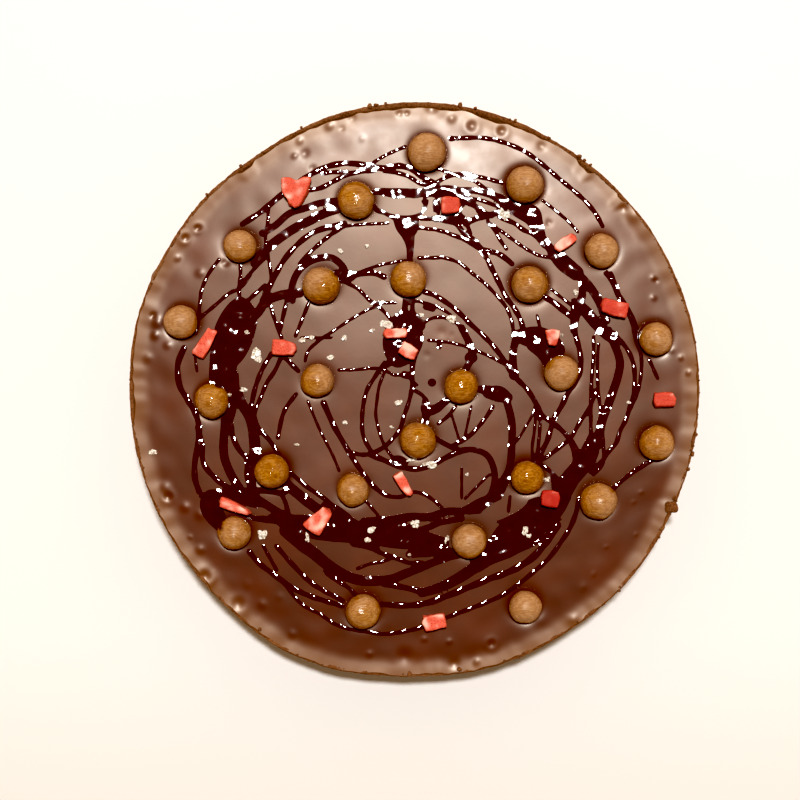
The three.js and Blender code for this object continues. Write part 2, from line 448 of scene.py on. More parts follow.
@dataclass(frozen=True)
class RoastedNut(Finish):
    """A skinned, roasted hazelnut: fibrous and satin, amber and glossy where it was glazed."""

    fibre: float = 0.55
    fibre_length: float = 3.0
    cloud: float = 2.6
    cloudiness: float = 0.45  # how much the clouds count beside the fibres
    tones: tuple[float, float, float] = (0.58, 0.72, 0.86)  # in its creases, between, on its crests; the darker creases are partly its own grain and pooled glaze, partly painted shade
    dry: tuple[str, str, str] = ("#aa7d54", "#b68a61", "#c19972")
    glazed: tuple[str, str, str] = ("#955f18", "#aa7420", "#ba863a")
    caramel: str = "#5a1a08"
    glazed_roughness: float = 0.1
    full_glaze: float = 0.6  # glaze past which it gets no glossier
    relief: float = 0.17

    def material(self) -> Material:
        """Makes the material."""
        material, tree, shader, where = self.start()
        stretched = add_node(
            tree, "Mapping",
            {"Scale": (per_metre(self.fibre_length), per_metre(self.fibre), per_metre(self.fibre))},
            {"Vector": where},
        )
        fibres = add_node(
            tree, "TexNoise", {"Scale": 1.0, "Detail": 3.0}, {"Vector": stretched.outputs["Vector"]},
        )
        clouds = add_node(
            tree, "TexNoise", {"Scale": per_metre(self.cloud), "Detail": 3.0}, {"Vector": where}
        )
        mottle = add_node(
            tree, "Math", {1: self.cloudiness}, {0: clouds.outputs["Fac"], 2: fibres.outputs["Fac"]},
            operation="MULTIPLY_ADD",
        )
        ramps = []
        for colours in (self.dry, self.glazed):
            ramp = add_node(tree, "ValToRGB", links={"Fac": mottle.outputs["Value"]})
            stops = ramp.color_ramp.elements
            crease, between, crest = zip(self.tones, colours)
            stops[0].position, stops[0].color = crease[0], linear(crease[1])
            stops[1].position, stops[1].color = crest[0], linear(crest[1])
            stops.new(between[0]).color = linear(between[1])
            ramps.append(ramp.outputs["Color"])
        glaze = add_node(tree, "Attribute", attribute_name=GLAZE).outputs["Fac"]
        caramel = add_node(tree, "Attribute", attribute_name=CARAMEL).outputs["Fac"]
        nut = add_node(
            tree, "Mix", links={MIX_FACTOR: glaze, MIX_FIRST: ramps[0], MIX_SECOND: ramps[1]},
            data_type="RGBA",
        )
        coated = add_node(
            tree, "Mix", {MIX_SECOND: linear(self.caramel)},
            {MIX_FACTOR: caramel, MIX_FIRST: nut.outputs[MIX_RESULT]}, data_type="RGBA",
        )
        tree.links.new(coated.outputs[MIX_RESULT], shader.inputs["Base Color"])
        polish = add_node(
            tree, "MapRange",
            {"From Max": self.full_glaze, "To Min": self.roughness, "To Max": self.glazed_roughness},
            {"Value": glaze},
        )
        tree.links.new(polish.outputs["Result"], shader.inputs["Roughness"])
        bump = add_node(
            tree, "Bump", {"Strength": 1.0, "Distance": self.relief * MM},
            {"Height": mottle.outputs["Value"]},
        )
        tree.links.new(bump.outputs["Normal"], shader.inputs["Normal"])
        return material


@dataclass(frozen=True)
class DriedStrawberry(Finish):
    """Freeze-dried strawberry, cut in dice: porous and matt, red with pale pink flesh."""

    pore: float = 0.5
    skin: tuple[Stop, Stop] = ((0.3, "#cc4c3a"), (0.5, "#e67660"))  # in its pores, darker partly with painted shade, and between them
    ripest: str = "#bc3b30"
    # the pale flesh, also used as painted light on the lit faces
    pale: str = "#f4c8b8"
    relief: float = 0.3
    relief_strength: float = 0.7

    def material(self) -> Material:
        """Makes the material."""
        material, tree, shader, where = self.start()
        pores = add_node(
            tree, "TexNoise", {"Scale": per_metre(self.pore), "Detail": 2.0}, {"Vector": where}
        )
        ramp = add_node(tree, "ValToRGB", links={"Fac": pores.outputs["Fac"]})
        for stop, (position, code) in zip(ramp.color_ramp.elements, self.skin):
            stop.position, stop.color = position, linear(code)
        colour = ramp.outputs["Color"]
        # the pale mix is real flesh and painted light on the top and lamp-facing back
        for attribute, code in ((RIPE, self.ripest), (FLESH_AND_LIGHT, self.pale)):
            share = add_node(tree, "Attribute", attribute_name=attribute)
            mixed = add_node(
                tree, "Mix", {MIX_SECOND: linear(code)},
                {MIX_FACTOR: share.outputs["Fac"], MIX_FIRST: colour}, data_type="RGBA",
            )
            colour = mixed.outputs[MIX_RESULT]
        tree.links.new(colour, shader.inputs["Base Color"])
        bump = add_node(
            tree, "Bump", {"Strength": self.relief_strength, "Distance": self.relief * MM},
            {"Height": pores.outputs["Fac"]},
        )
        tree.links.new(bump.outputs["Normal"], shader.inputs["Normal"])
        return material


@dataclass(frozen=True)
class DarkCaramel(Finish):
    """Chocolate caramel, poured warm and still wet: almost black with a red tint, and mirror smooth."""

    colour: str = "#4e1406"
    thin_colour: str = "#5a1c09"
    cloud: float = 5.0

    def material(self) -> Material:
        """Makes the material."""
        material, tree, shader, where = self.start()
        clouds = add_node(
            tree, "TexNoise", {"Scale": per_metre(self.cloud), "Detail": 2.0}, {"Vector": where}
        )
        colour = add_node(
            tree, "Mix", {MIX_FIRST: linear(self.colour), MIX_SECOND: linear(self.thin_colour)},
            {MIX_FACTOR: clouds.outputs["Fac"]}, data_type="RGBA",
        )
        tree.links.new(colour.outputs[MIX_RESULT], shader.inputs["Base Color"])
        return material


@dataclass(frozen=True)
class SeaSalt(Finish):
    """Flaked sea salt, dried in pans: clear plates that scatter light at their cracks."""

    crack: float = 0.8
    plate: tuple[Stop, Stop] = ((0.35, "#b9a48e"), (0.6, "#fffaf2"))  # where clear and where cracked

    def material(self) -> Material:
        """Makes the material."""
        material, tree, shader, where = self.start()
        cracks = add_node(
            tree, "TexNoise", {"Scale": per_metre(self.crack), "Detail": 2.0}, {"Vector": where}
        )
        ramp = add_node(tree, "ValToRGB", links={"Fac": cracks.outputs["Fac"]})
        for stop, (position, code) in zip(ramp.color_ramp.elements, self.plate):
            stop.position, stop.color = position, linear(code)
        tree.links.new(ramp.outputs["Color"], shader.inputs["Base Color"])
        return material


@dataclass(frozen=True)
class WhiteTable(Finish):
    """A painted table top: pale, warm white and matt, with painted shade that makes it a little darker
    towards its front.
    """

    # painted shade: the table is painted darker towards its front, away from the lamp
    shaded_front_colour: str = "#e7e2df"
    back_colour: str = "#f0ecea"
    shade_from: float = -100.0  # where the painted shade begins
    shade_full: float = -200.0  # and where the painted shade is darkest

    def material(self) -> Material:
        """Makes the material."""
        material, tree, shader, where = self.start()
        split = add_node(tree, "SeparateXYZ", links={"Vector": where})
        # painted shade: a ramp along Y that darkens the front of the table
        depth = add_node(
            tree, "MapRange", {"From Min": self.shade_full * MM, "From Max": self.shade_from * MM},
            {"Value": split.outputs["Y"]},
        )
        colour = add_node(
            tree, "Mix", {MIX_FIRST: linear(self.shaded_front_colour), MIX_SECOND: linear(self.back_colour)},
            {MIX_FACTOR: depth.outputs["Result"]}, data_type="RGBA",
        )
        tree.links.new(colour.outputs[MIX_RESULT], shader.inputs["Base Color"])
        return material


# ---- The tin's outline ----


@dataclass(frozen=True)
class Outline:
    """The uneven round of the tin at one height: a radius for each bearing."""

    radii: Array

    SAMPLES = 720
    FINEST = 24  # waves in one turn that the outline keeps
    OUTERMOST = 0.94  # share of the largest radius past which a corner counts
    BULGE = 0.5  # how much farther the soft crumb spread at the back
    BULGE_FROM = 0.8  # sine of the bearing from which it did

    @classmethod
    def of_node(cls, node: Object, low: float, high: float) -> Outline:
        """Reads the outline of a CAD node.

        Args:
            node: The CAD node.
            low: Lowest height of the corners that count.
            high: Highest height of the corners that count.

        Returns:
            The outline through the outermost corners.
        """
        corners = corners_of(node)
        corners = corners[(corners[:, 2] >= low) & (corners[:, 2] <= high)]
        radius = np.hypot(corners[:, 0], corners[:, 1])
        outer = radius > cls.OUTERMOST * radius.max()
        bearing = np.arctan2(corners[outer, 1], corners[outer, 0])
        sector = np.round((bearing / FULL_TURN) % 1 * cls.SAMPLES).astype(int) % cls.SAMPLES
        reach = np.zeros(cls.SAMPLES)
        np.maximum.at(reach, sector, radius[outer])
        known = np.flatnonzero(reach)
        even = np.interp(np.arange(cls.SAMPLES), known, reach[known], period=cls.SAMPLES)
        spectrum = np.fft.rfft(even)
        spectrum[cls.FINEST :] = 0
        return cls(np.fft.irfft(spectrum, cls.SAMPLES))

    def radius(self, x: Array, y: Array) -> Array:
        """The outline's radius on the bearing of each place."""
        turn = (np.arctan2(y, x) / FULL_TURN) % 1 * self.SAMPLES
        bulge = self.BULGE * smoothstep(self.BULGE_FROM, 1, y / np.maximum(np.hypot(x, y), TINY))
        return np.interp(turn, np.arange(self.SAMPLES), self.radii, period=self.SAMPLES) + bulge


# ---- Ganache ----


class Mark(Enum):
    """A mark that a bubble or a lump leaves in the ganache, by how its height changes outwards."""

    LUMP = "lump"
    PIT = "pit"
    RING = "ring"


@dataclass(frozen=True)
class Blemish:
    """One mark in the ganache: where it is, how wide, and how high or deep."""

    mark: Mark
    x: float
    y: float
    width: float
    relief: float = 0.15

    STEEPNESS = 1.6
    RING_REACH = 3.4  # how far out a ring stands, against the hollow in it

    def height(self, x: Array, y: Array) -> Array:
        """How much it raises the ganache at each place."""
        reach = ((x - self.x) ** 2 + (y - self.y) ** 2) / (self.width / 2) ** 2
        hill = np.exp(-self.STEEPNESS * reach)
        if self.mark is Mark.LUMP:
            return self.relief * hill
        if self.mark is Mark.PIT:
            return -self.relief * hill
        return self.relief * (self.RING_REACH * reach - 1) * hill


LUMP, PIT, RING = Mark

BLEMISHES = tuple(Blemish(*row) for row in (
    (PIT, -25, 109, 4), (LUMP, -34, 106, 4.4, 0.18), (LUMP, -46, 100, 3.6), (PIT, -44, 95, 4, 0.18),
    (LUMP, -48, 94, 2.8), (PIT, -6, 111, 3), (PIT, -3, 111, 2.4), (PIT, 7, 113, 5.6, 0.3),
    (LUMP, 15, 109, 4, 0.18), (RING, 23, 106, 6), (RING, 35, 104, 5.6), (PIT, 51, 98, 4), (PIT, -41, 89, 3),
    (PIT, 54, 67, 3), (PIT, -29, 105, 2.4, 0.07), (LUMP, -21, 101, 3.2, 0.07), (RING, -92, 61, 4.4),
    (LUMP, -95, 53, 3.2), (RING, -87, 65, 4), (LUMP, -107, 13, 4.8, 0.18), (LUMP, -86, 47, 4, 0.18),
    (PIT, -76, 51, 3.6, 0.3), (LUMP, -103, 27, 5, 0.3), (PIT, -105, 30, 2.6, 0.24),
    (LUMP, -104, 22, 4, 0.27), (LUMP, -99, 18, 3.6, 0.18), (LUMP, -100, -39, 5, 0.24),
    (RING, -99, -43, 5, 0.18), (LUMP, -92, -47, 4.4, 0.21), (LUMP, -86, -50, 4.2, 0.18),
    (LUMP, -86, -64, 4.2, 0.21), (LUMP, -90, -59, 2.4, 0.09), (RING, -71, -86, 8, 0.18),
    (LUMP, -61, -86, 4.4, 0.15), (LUMP, -67, -78, 5, 0.07), (LUMP, -54, -83, 4, 0.07), (LUMP, -49, -98, 4),
    (RING, -84, -75, 7, 0.18), (PIT, -4, -107, 6.5, 0.3), (PIT, 16, -110, 5, 0.3), (LUMP, -18, -106, 3),
    (LUMP, 14, -101, 2.6), (LUMP, 4, -100, 2.6), (RING, 31, -102, 4.6), (LUMP, 25, -109, 3.4),
    (LUMP, 50, -92, 7, 0.15), (LUMP, 64, -92, 5, 0.18), (LUMP, 69, -93, 4.4, 0.18),
    (LUMP, 68, -79, 4, 0.07), (LUMP, 72, -74, 2.4, 0.07), (LUMP, 77, -63, 2, 0.06),
    (LUMP, 89, -58, 2, 0.06), (LUMP, 88, -45, 2, 0.06), (LUMP, 91, -41, 2.2, 0.07), (LUMP, 96, 45, 2.6),
    (PIT, 97, 44, 2), (LUMP, 96, 37, 2.6), (LUMP, 103, 16, 3), (LUMP, 107, 13, 2.6), (LUMP, 110, 7, 2.6),
    (PIT, 84, 73, 3.4, 0.18), (LUMP, 88, 70, 6, 0.18), (PIT, 11, 23, 5, 0.08), (PIT, 5, 14, 3, 0.06),
    (PIT, 15, 22, 2, 0.06),
))


@dataclass(frozen=True)
class Notch:
    """A place on the rim where the ganache stays back and bare crust shows."""

    x: float
    y: float
    width: float
    depth: float


NOTCHES = tuple(Notch(*row) for row in (
    (-68, 90, 8, 1.6), (70, 91, 8, 2.4), (84, 78, 5, 1.4), (30, 111, 14, 0.8), (103, -50, 8, 1),
    (-84, -78, 5, 0.8),
))


@dataclass(frozen=True)
class NutPlace:
    """Where a nut stands, read from its CAD node: its middle and its radius."""

    x: float
    y: float
    z: float
    radius: float
    sag: float = 1.0  # how deep the ganache dips round it, as a share of the usual


@dataclass
class GanacheSurface:
    """The height of the ganache everywhere: nearly level, up the wall at the rim, down round each nut."""

    edge: Outline
    level: float
    nuts: list[NutPlace]
    lip_slope: float = 0.1  # how steeply it climbs to the rim
    lip_even: float = 3.4  # how far in from the rim that slope is even
    lip_start: float = 8.0  # how far in from the rim it begins
    back: Point = (60.0, 105.0)  # where the lip gets lower and is lowest
    back_easing: float = 0.6  # how much less steep it is there
    back_narrowing: float = 0.4  # how much narrower it is there
    setback: float = -0.55  # how far the ganache shrank from the bare rim
    back_setback: float = 1.7  # how much farther it shrank at the back
    back_bearing: Point = (0.75, 0.98)  # sines of the bearings where that begins and is full
    edge_wander: float = 0.245
    edge_waves: Point = (5.0, 22.0)  # the shortest and the longest, as for the other waves
    swell_height: float = 0.05
    swell_waves: Point = (38.0, 80.0)
    ripple_height: float = 0.028
    ripple_waves: Point = (9.0, 20.0)
    ripple_ring: Point = (34.0, 12.0)  # how far in from the rim they grow and are full
    calm: float = 0.25  # share of the ripples that is left in the middle
    dimple_depth: float = 0.55
    dimple_fade: float = 1.3
    nut_contact: float = 0.93  # radius of the dimple's foot, in the nut's radii

    def edge_radius(self, x: Array, y: Array) -> Array:
        """How far out the ganache reaches on the bearing of each place."""
        radius = self.edge.radius(x, y) - self.setback
        spread = radius / np.maximum(np.hypot(x, y), TINY)
        rim_x, rim_y = x * spread, y * spread
        radius = radius - self.back_setback * smoothstep(*self.back_bearing, rim_y / radius)
        radius = radius + self.edge_wander * waves(rim_x, rim_y, *self.edge_waves, seed=5)
        for notch in NOTCHES:
            away = np.hypot(rim_x - notch.x, rim_y - notch.y) / (notch.width / 2)
            radius = radius - notch.depth * np.exp(-(away**4))
        return radius

    def poured(self, x: Array, y: Array) -> Array:
        """The height of the ganache at each place, as it was before it set round the nuts."""
        inward = self.edge_radius(x, y) - np.hypot(x, y)
        ripples = self.ripple_height * (self.calm + (1 - self.calm) * smoothstep(*self.ripple_ring, inward))
        z = self.level + self.swell_height * waves(x, y, *self.swell_waves, seed=2)
        z += ripples * waves(x, y, *self.ripple_waves, seed=3)
        behind = smoothstep(*self.back, y)
        reach = 1 - self.back_narrowing * behind
        fade = self.lip_start - self.lip_even
        past = np.clip((inward / reach - self.lip_even) / fade, 0, 1)
        climb = np.maximum(self.lip_even - inward / reach, 0) + fade * (0.5 - past + past**3 - past**4 / 2)
        return z + self.lip_slope * (1 - self.back_easing * behind) * reach * climb

    def height(self, x: Array, y: Array) -> Array:
        """The height of the ganache at each place."""
        z = self.poured(x, y)
        for nut in self.nuts:
            away = np.hypot(x - nut.x, y - nut.y) - self.nut_contact * nut.radius
            z -= self.dimple_depth * nut.sag * np.exp(-np.maximum(away, 0) / self.dimple_fade)
        for blemish in BLEMISHES:
            z += blemish.height(x, y)
        return z


SKY = 99.0  # a height above everything


@dataclass
class Ganache:
    """The filling, as one solid from its glossy top down to the floor of the crust."""

    surface: GanacheSurface
    floor: float
    cells: int = 300
    rim_closeness: float = 0.25  # how much finer the mesh is at the rim
    lip_inset: float = 0.15  # how far in the underside of the lip is
    lip_thickness: float = 0.5
    wall_inset: float = 4.45  # how far in from there the filling meets the wall
    wall_top: float = 22.5
    floor_inset: float = 6.95  # how far in from there it meets the floor
    thin: Point = (9.0, 0.5)  # how far in from the rim it begins to be paler and is palest
    top: BVHTree | None = field(init=False, default=None)

    def build(self, finish: SetGanache) -> Object:
        """Makes the piece."""
        mesh = bmesh.new()
        bmesh.ops.create_grid(mesh, x_segments=self.cells, y_segments=self.cells, size=1.0)
        x, y = self.round_off(places_of(mesh))
        place(mesh, np.column_stack([x, y, self.surface.height(x, y)]))
        record(mesh, RIM_PALENESS, smoothstep(*self.thin, self.surface.edge_radius(x, y) - np.hypot(x, y)))
        self.top = BVHTree.FromBMesh(mesh)
        self.close(mesh)
        return make_piece("ganache_filling", mesh, finish.material(), ("ganache",))

    def ground(self, x: Array, y: Array) -> Array:
        """The height of the finished top at each place, where it has one."""
        z = self.surface.height(x, y)
        down = Vector((0, 0, -1))
        for i, where in enumerate(zip(x.tolist(), y.tolist())):
            hit = self.top.ray_cast(Vector((*where, SKY)), down)[0]
            if hit:
                z[i] = hit.z
        return z

    def round_off(self, square: Array) -> tuple[Array, Array]:
        """Turns a square grid into a round one that reaches the edge of the ganache.

        Args:
            square: Places in a square from -1 to 1.

        Returns:
            X and Y of the same places in the round.
        """
        a, b = square[:, 0], square[:, 1]
        wide = np.abs(a) > np.abs(b)
        ring = np.where(wide, a, b)
        share = np.where(wide, b, a) / np.where(ring == 0, 1, ring)
        turn = np.where(wide, share * math.pi / 4, math.pi / 2 - share * math.pi / 4)
        x, y = ring * np.cos(turn), ring * np.sin(turn)
        out = np.abs(ring)
        reach = (1 + self.rim_closeness) - self.rim_closeness * out**2
        edge = self.surface.edge_radius(x, y)
        return x * reach * edge, y * reach * edge

    def close(self, mesh: BMesh) -> None:
        """Draws the edge of the top down behind the rim to the floor, and shuts the bottom."""
        rim = [edge for edge in mesh.edges if edge.is_boundary]
        for inset, level in (
            (self.lip_inset, None), (self.wall_inset, self.wall_top), (self.floor_inset, self.floor),
        ):
            grown = bmesh.ops.extrude_edge_only(mesh, edges=rim)["geom"]
            rim = [item for item in grown if isinstance(item, BMEdge) and item.is_boundary]
            for vert in {vert for edge in rim for vert in edge.verts}:
                radius = math.hypot(vert.co.x, vert.co.y)
                shrink = (radius - inset) / radius
                vert.co.x *= shrink
                vert.co.y *= shrink
                vert.co.z = vert.co.z - self.lip_thickness if level is None else level
        bmesh.ops.holes_fill(mesh, edges=rim)
        bmesh.ops.recalc_face_normals(mesh, faces=mesh.faces)


# ---- Crust ----


@dataclass
class Crust:
    """The crumb crust: a thick base and a flared wall with a worn, gritty rim."""

    foot: Outline
    rim: Outline
    height: float
    sides: int = 640
    wall: float = 5.5
    floor: float = 6.0
    base_rounding: float = 1.2
    base_corner: Point = (0.35, 0.3)  # its middle, in and up, as shares of it
    shoulder: float = 0.7  # how far below the top the side ends
    # points of the worn crown and of the ledge under the ganache: how far in, how far down
    crown: tuple[Point, ...] = ((0.12, 0.3), (0.4, 0.06), (0.8, 0.0), (1.5, 0.15))
    ledge: tuple[Point, ...] = ((2.0, 0.7), (2.5, 1.6))
    wall_top: float = 4.0  # how far down the wall has its thickness
    draft: float = 1.0  # how much thicker it is at its foot
    fillet: float = 3.0  # between the wall and the floor
    step: float = 0.75  # of the mesh outside, on the base and inside
    base_step: float = 4.0
    inner_step: float = 5.0
    crumb: float = 1.6
    crumb_relief: float = 0.22
    lump: float = 7.0
    lump_relief: float = 0.28
    sunk: float = 0.15  # how far in the relief is set
    flat_base: Point = (0.2, 2.0)  # heights at which the relief begins and is full

    def build(self, finish: BakedCrumb) -> Object:
        """Makes the piece."""
        mesh = bmesh.new()
        nominal = float(self.rim.radii.mean())
        verts = [mesh.verts.new((radius, 0, z)) for radius, z in self.profile(nominal)]
        edges = [mesh.edges.new(pair) for pair in zip(verts, verts[1:])]
        bmesh.ops.spin(
            mesh, geom=[*verts, *edges], cent=(0, 0, 0), axis=(0, 0, 1), angle=FULL_TURN, steps=self.sides,
            use_merge=True,
        )
        bmesh.ops.remove_doubles(mesh, verts=mesh.verts, dist=1e-4)
        bmesh.ops.recalc_face_normals(mesh, faces=mesh.faces)
        self.press_into_tin(mesh, nominal)
        self.roughen(mesh)
        return make_piece("crumb_crust", mesh, finish.material(), ("crust",))

    def profile(self, rim: float) -> list[Point]:
        """The crust's section, from the middle of its base round to the middle of its floor.

        Args:
            rim: The radius of the rim.

        Returns:
            Points of radius and height.
        """
        bevel, top = self.base_rounding, self.height
        inward, up = self.base_corner
        base = densify([(0, 0), (rim - bevel, 0)], self.base_step)
        foot = [(rim - inward * bevel, up * bevel), (rim, bevel)]
        side = densify([(rim, bevel), (rim, top - self.shoulder)], self.step)[1:]
        crown = [(rim - inward, top - down) for inward, down in self.crown]
        inside = densify(
            [
                *((rim - inward, top - down) for inward, down in self.ledge),
                (rim - self.wall, top - self.wall_top),
                (rim - self.wall - self.draft, self.floor + self.fillet),
                (rim - self.wall - self.draft - self.fillet, self.floor),
                (0, self.floor),
            ],
            self.inner_step,
        )
        return base + foot + side + crown + inside

    def press_into_tin(self, mesh: BMesh, nominal: float) -> None:
        """Gives the round crust the tin's flare and its uneven outline."""
        places = places_of(mesh)
        x, y, z = places.T
        share = np.clip(z / self.height, 0, 1)
        wanted = (1 - share) * self.foot.radius(x, y) + share * self.rim.radius(x, y)
        stretch = wanted / nominal
        place(mesh, np.column_stack([x * stretch, y * stretch, z]))
        mesh.normal_update()

    def roughen(self, mesh: BMesh) -> None:
        """Raises crumbs and lumps out of every face but the base."""
        places = places_of(mesh)
        normals = np.array([vert.normal for vert in mesh.verts])
        coarse = bumpiness(places, self.lump, 1)
        fine = bumpiness(places, self.crumb, 2, octaves=3)
        relief = self.lump_relief * coarse + self.crumb_relief * fine - self.sunk
        above = smoothstep(*self.flat_base, places[:, 2])
        place(mesh, places + normals * (relief * above)[:, None])


@dataclass(frozen=True)
class Crumb:
    """One crumb that sticks to the rim."""

    x: float
    y: float
    size: float


CRUMBS = tuple(Crumb(*row) for row in (
    (-18, 115.2, 2.6), (-15.4, 114.6, 1.8), (-11.6, 115.4, 1.6), (18.4, 114.6, 2.2), (24.4, 113, 1.8),
    (40.6, 108.2, 1.6), (66.8, 94.4, 2.2), (68.6, 92.6, 1.6), (71, 90.8, 1.4), (-84, 79, 1.6),
    (-70, 90.4, 1.6), (-45.4, 105.4, 1.4), (113.4, -18, 1.8), (112.8, -26, 2), (110.6, -32, 1.6),
    (103, -47, 6), (104.6, -43.6, 2.4), (99.4, -55.6, 2), (-2, -114, 2.4), (18, -112, 2.2),
    (-62, -96, 1.8),
))


@dataclass
class RimCrumbs:
    """Loose crumbs on the rim, joined as one piece."""

    surface: GanacheSurface
    rim: Outline
    height: float
    scattered: int = 90
    smallest: float = 0.5
    largest: float = 1.3
    inset: Point = (0.2, 1.4)  # how far in from the rim's edge the scattered ones lie
    lengths: Point = (0.8, 1.1)  # the least and the most, as shares of a crumb's size
    widths: Point = (0.7, 1.0)
    flatness: float = 1.3  # its size over its thickness
    raised: float = 0.05  # how far its middle is above the rim, as a share of its size
    overhang: float = 0.1  # how far inside the rim's edge it stays, as a share of its size
    lumps: float = 2.2  # on its way across
    lumpiness: float = 0.55
    shuffle: float = 99.0  # how far apart in the noise two crumbs may be taken from
    seed: int = 4

    def build(self, finish: BakedCrumb) -> Object:
        """Makes the piece."""
        draw = random.Random(self.seed)
        mesh = bmesh.new()
        for crumb in CRUMBS:
            self.add(mesh, crumb, draw)
        for _ in range(self.scattered):
            bearing = draw.uniform(0, FULL_TURN)
            x, y = math.cos(bearing), math.sin(bearing)
            radius = float(self.rim.radius(np.array(x), np.array(y))) - draw.uniform(*self.inset)
            size = self.smallest + (self.largest - self.smallest) * draw.random() ** 2
            self.add(mesh, Crumb(x * radius, y * radius, size), draw)
        return make_piece("rim_crumbs", mesh, finish.material())

    def add(self, mesh: BMesh, crumb: Crumb, draw: random.Random) -> None:
        """Adds one crumb, a lumpy ball sunk a little into the rim.

        Args:
            mesh: The mesh that it joins.
            crumb: Where it lies and how large it is.
            draw: Where its random shape comes from.
        """
        half = crumb.size / 2
        shape = (half * draw.uniform(*self.lengths), half * draw.uniform(*self.widths), half / self.flatness)
        turn = Euler([draw.uniform(0, FULL_TURN) for _ in range(3)]).to_matrix().to_4x4()
        rim = float(self.rim.radius(np.array(crumb.x), np.array(crumb.y)))
        hold = min(1.0, (rim - self.overhang * crumb.size) / math.hypot(crumb.x, crumb.y))
        middle = Vector((crumb.x * hold, crumb.y * hold, self.height + self.raised * crumb.size))
        matrix = Matrix.Translation(middle) @ turn @ Matrix.Diagonal((*shape, 1))
        made = bmesh.ops.create_icosphere(mesh, subdivisions=3, radius=1, matrix=matrix)["verts"]
        shift = Vector((draw.uniform(0, self.shuffle), 0, 0))
        for vert in made:
            away = vert.co - middle
            vert.co += away * self.lumpiness * noise.noise(vert.co * (self.lumps / crumb.size) + shift)


# ---- Caramel ----


SPREAD_SHARE, SPREAD = 1.1, 0.4  # how much a thread widened once it lay, as a share and in all


@dataclass(frozen=True)
class Thread:
    """Caramel that fell in one run: its width, its points and its width at the far end."""

    width: float
    points: tuple[float, ...]  # X and Y of each
    end_width: float | None = None

    def rows(self) -> Array:
        """Its points, each with the width there."""
        points = np.array(self.points, float).reshape(-1, 2)
        widths = np.linspace(self.width, self.end_width or self.width, len(points))
        return np.column_stack([points, SPREAD_SHARE * widths + SPREAD])


@dataclass(frozen=True)
class Pool:
    """Caramel that has run together: points along the pool."""

    points: tuple[float, ...]  # X, Y and the width there of each

    def rows(self) -> Array:
        """Its points, each with the width there."""
        return np.array(self.points, float).reshape(-1, 3)


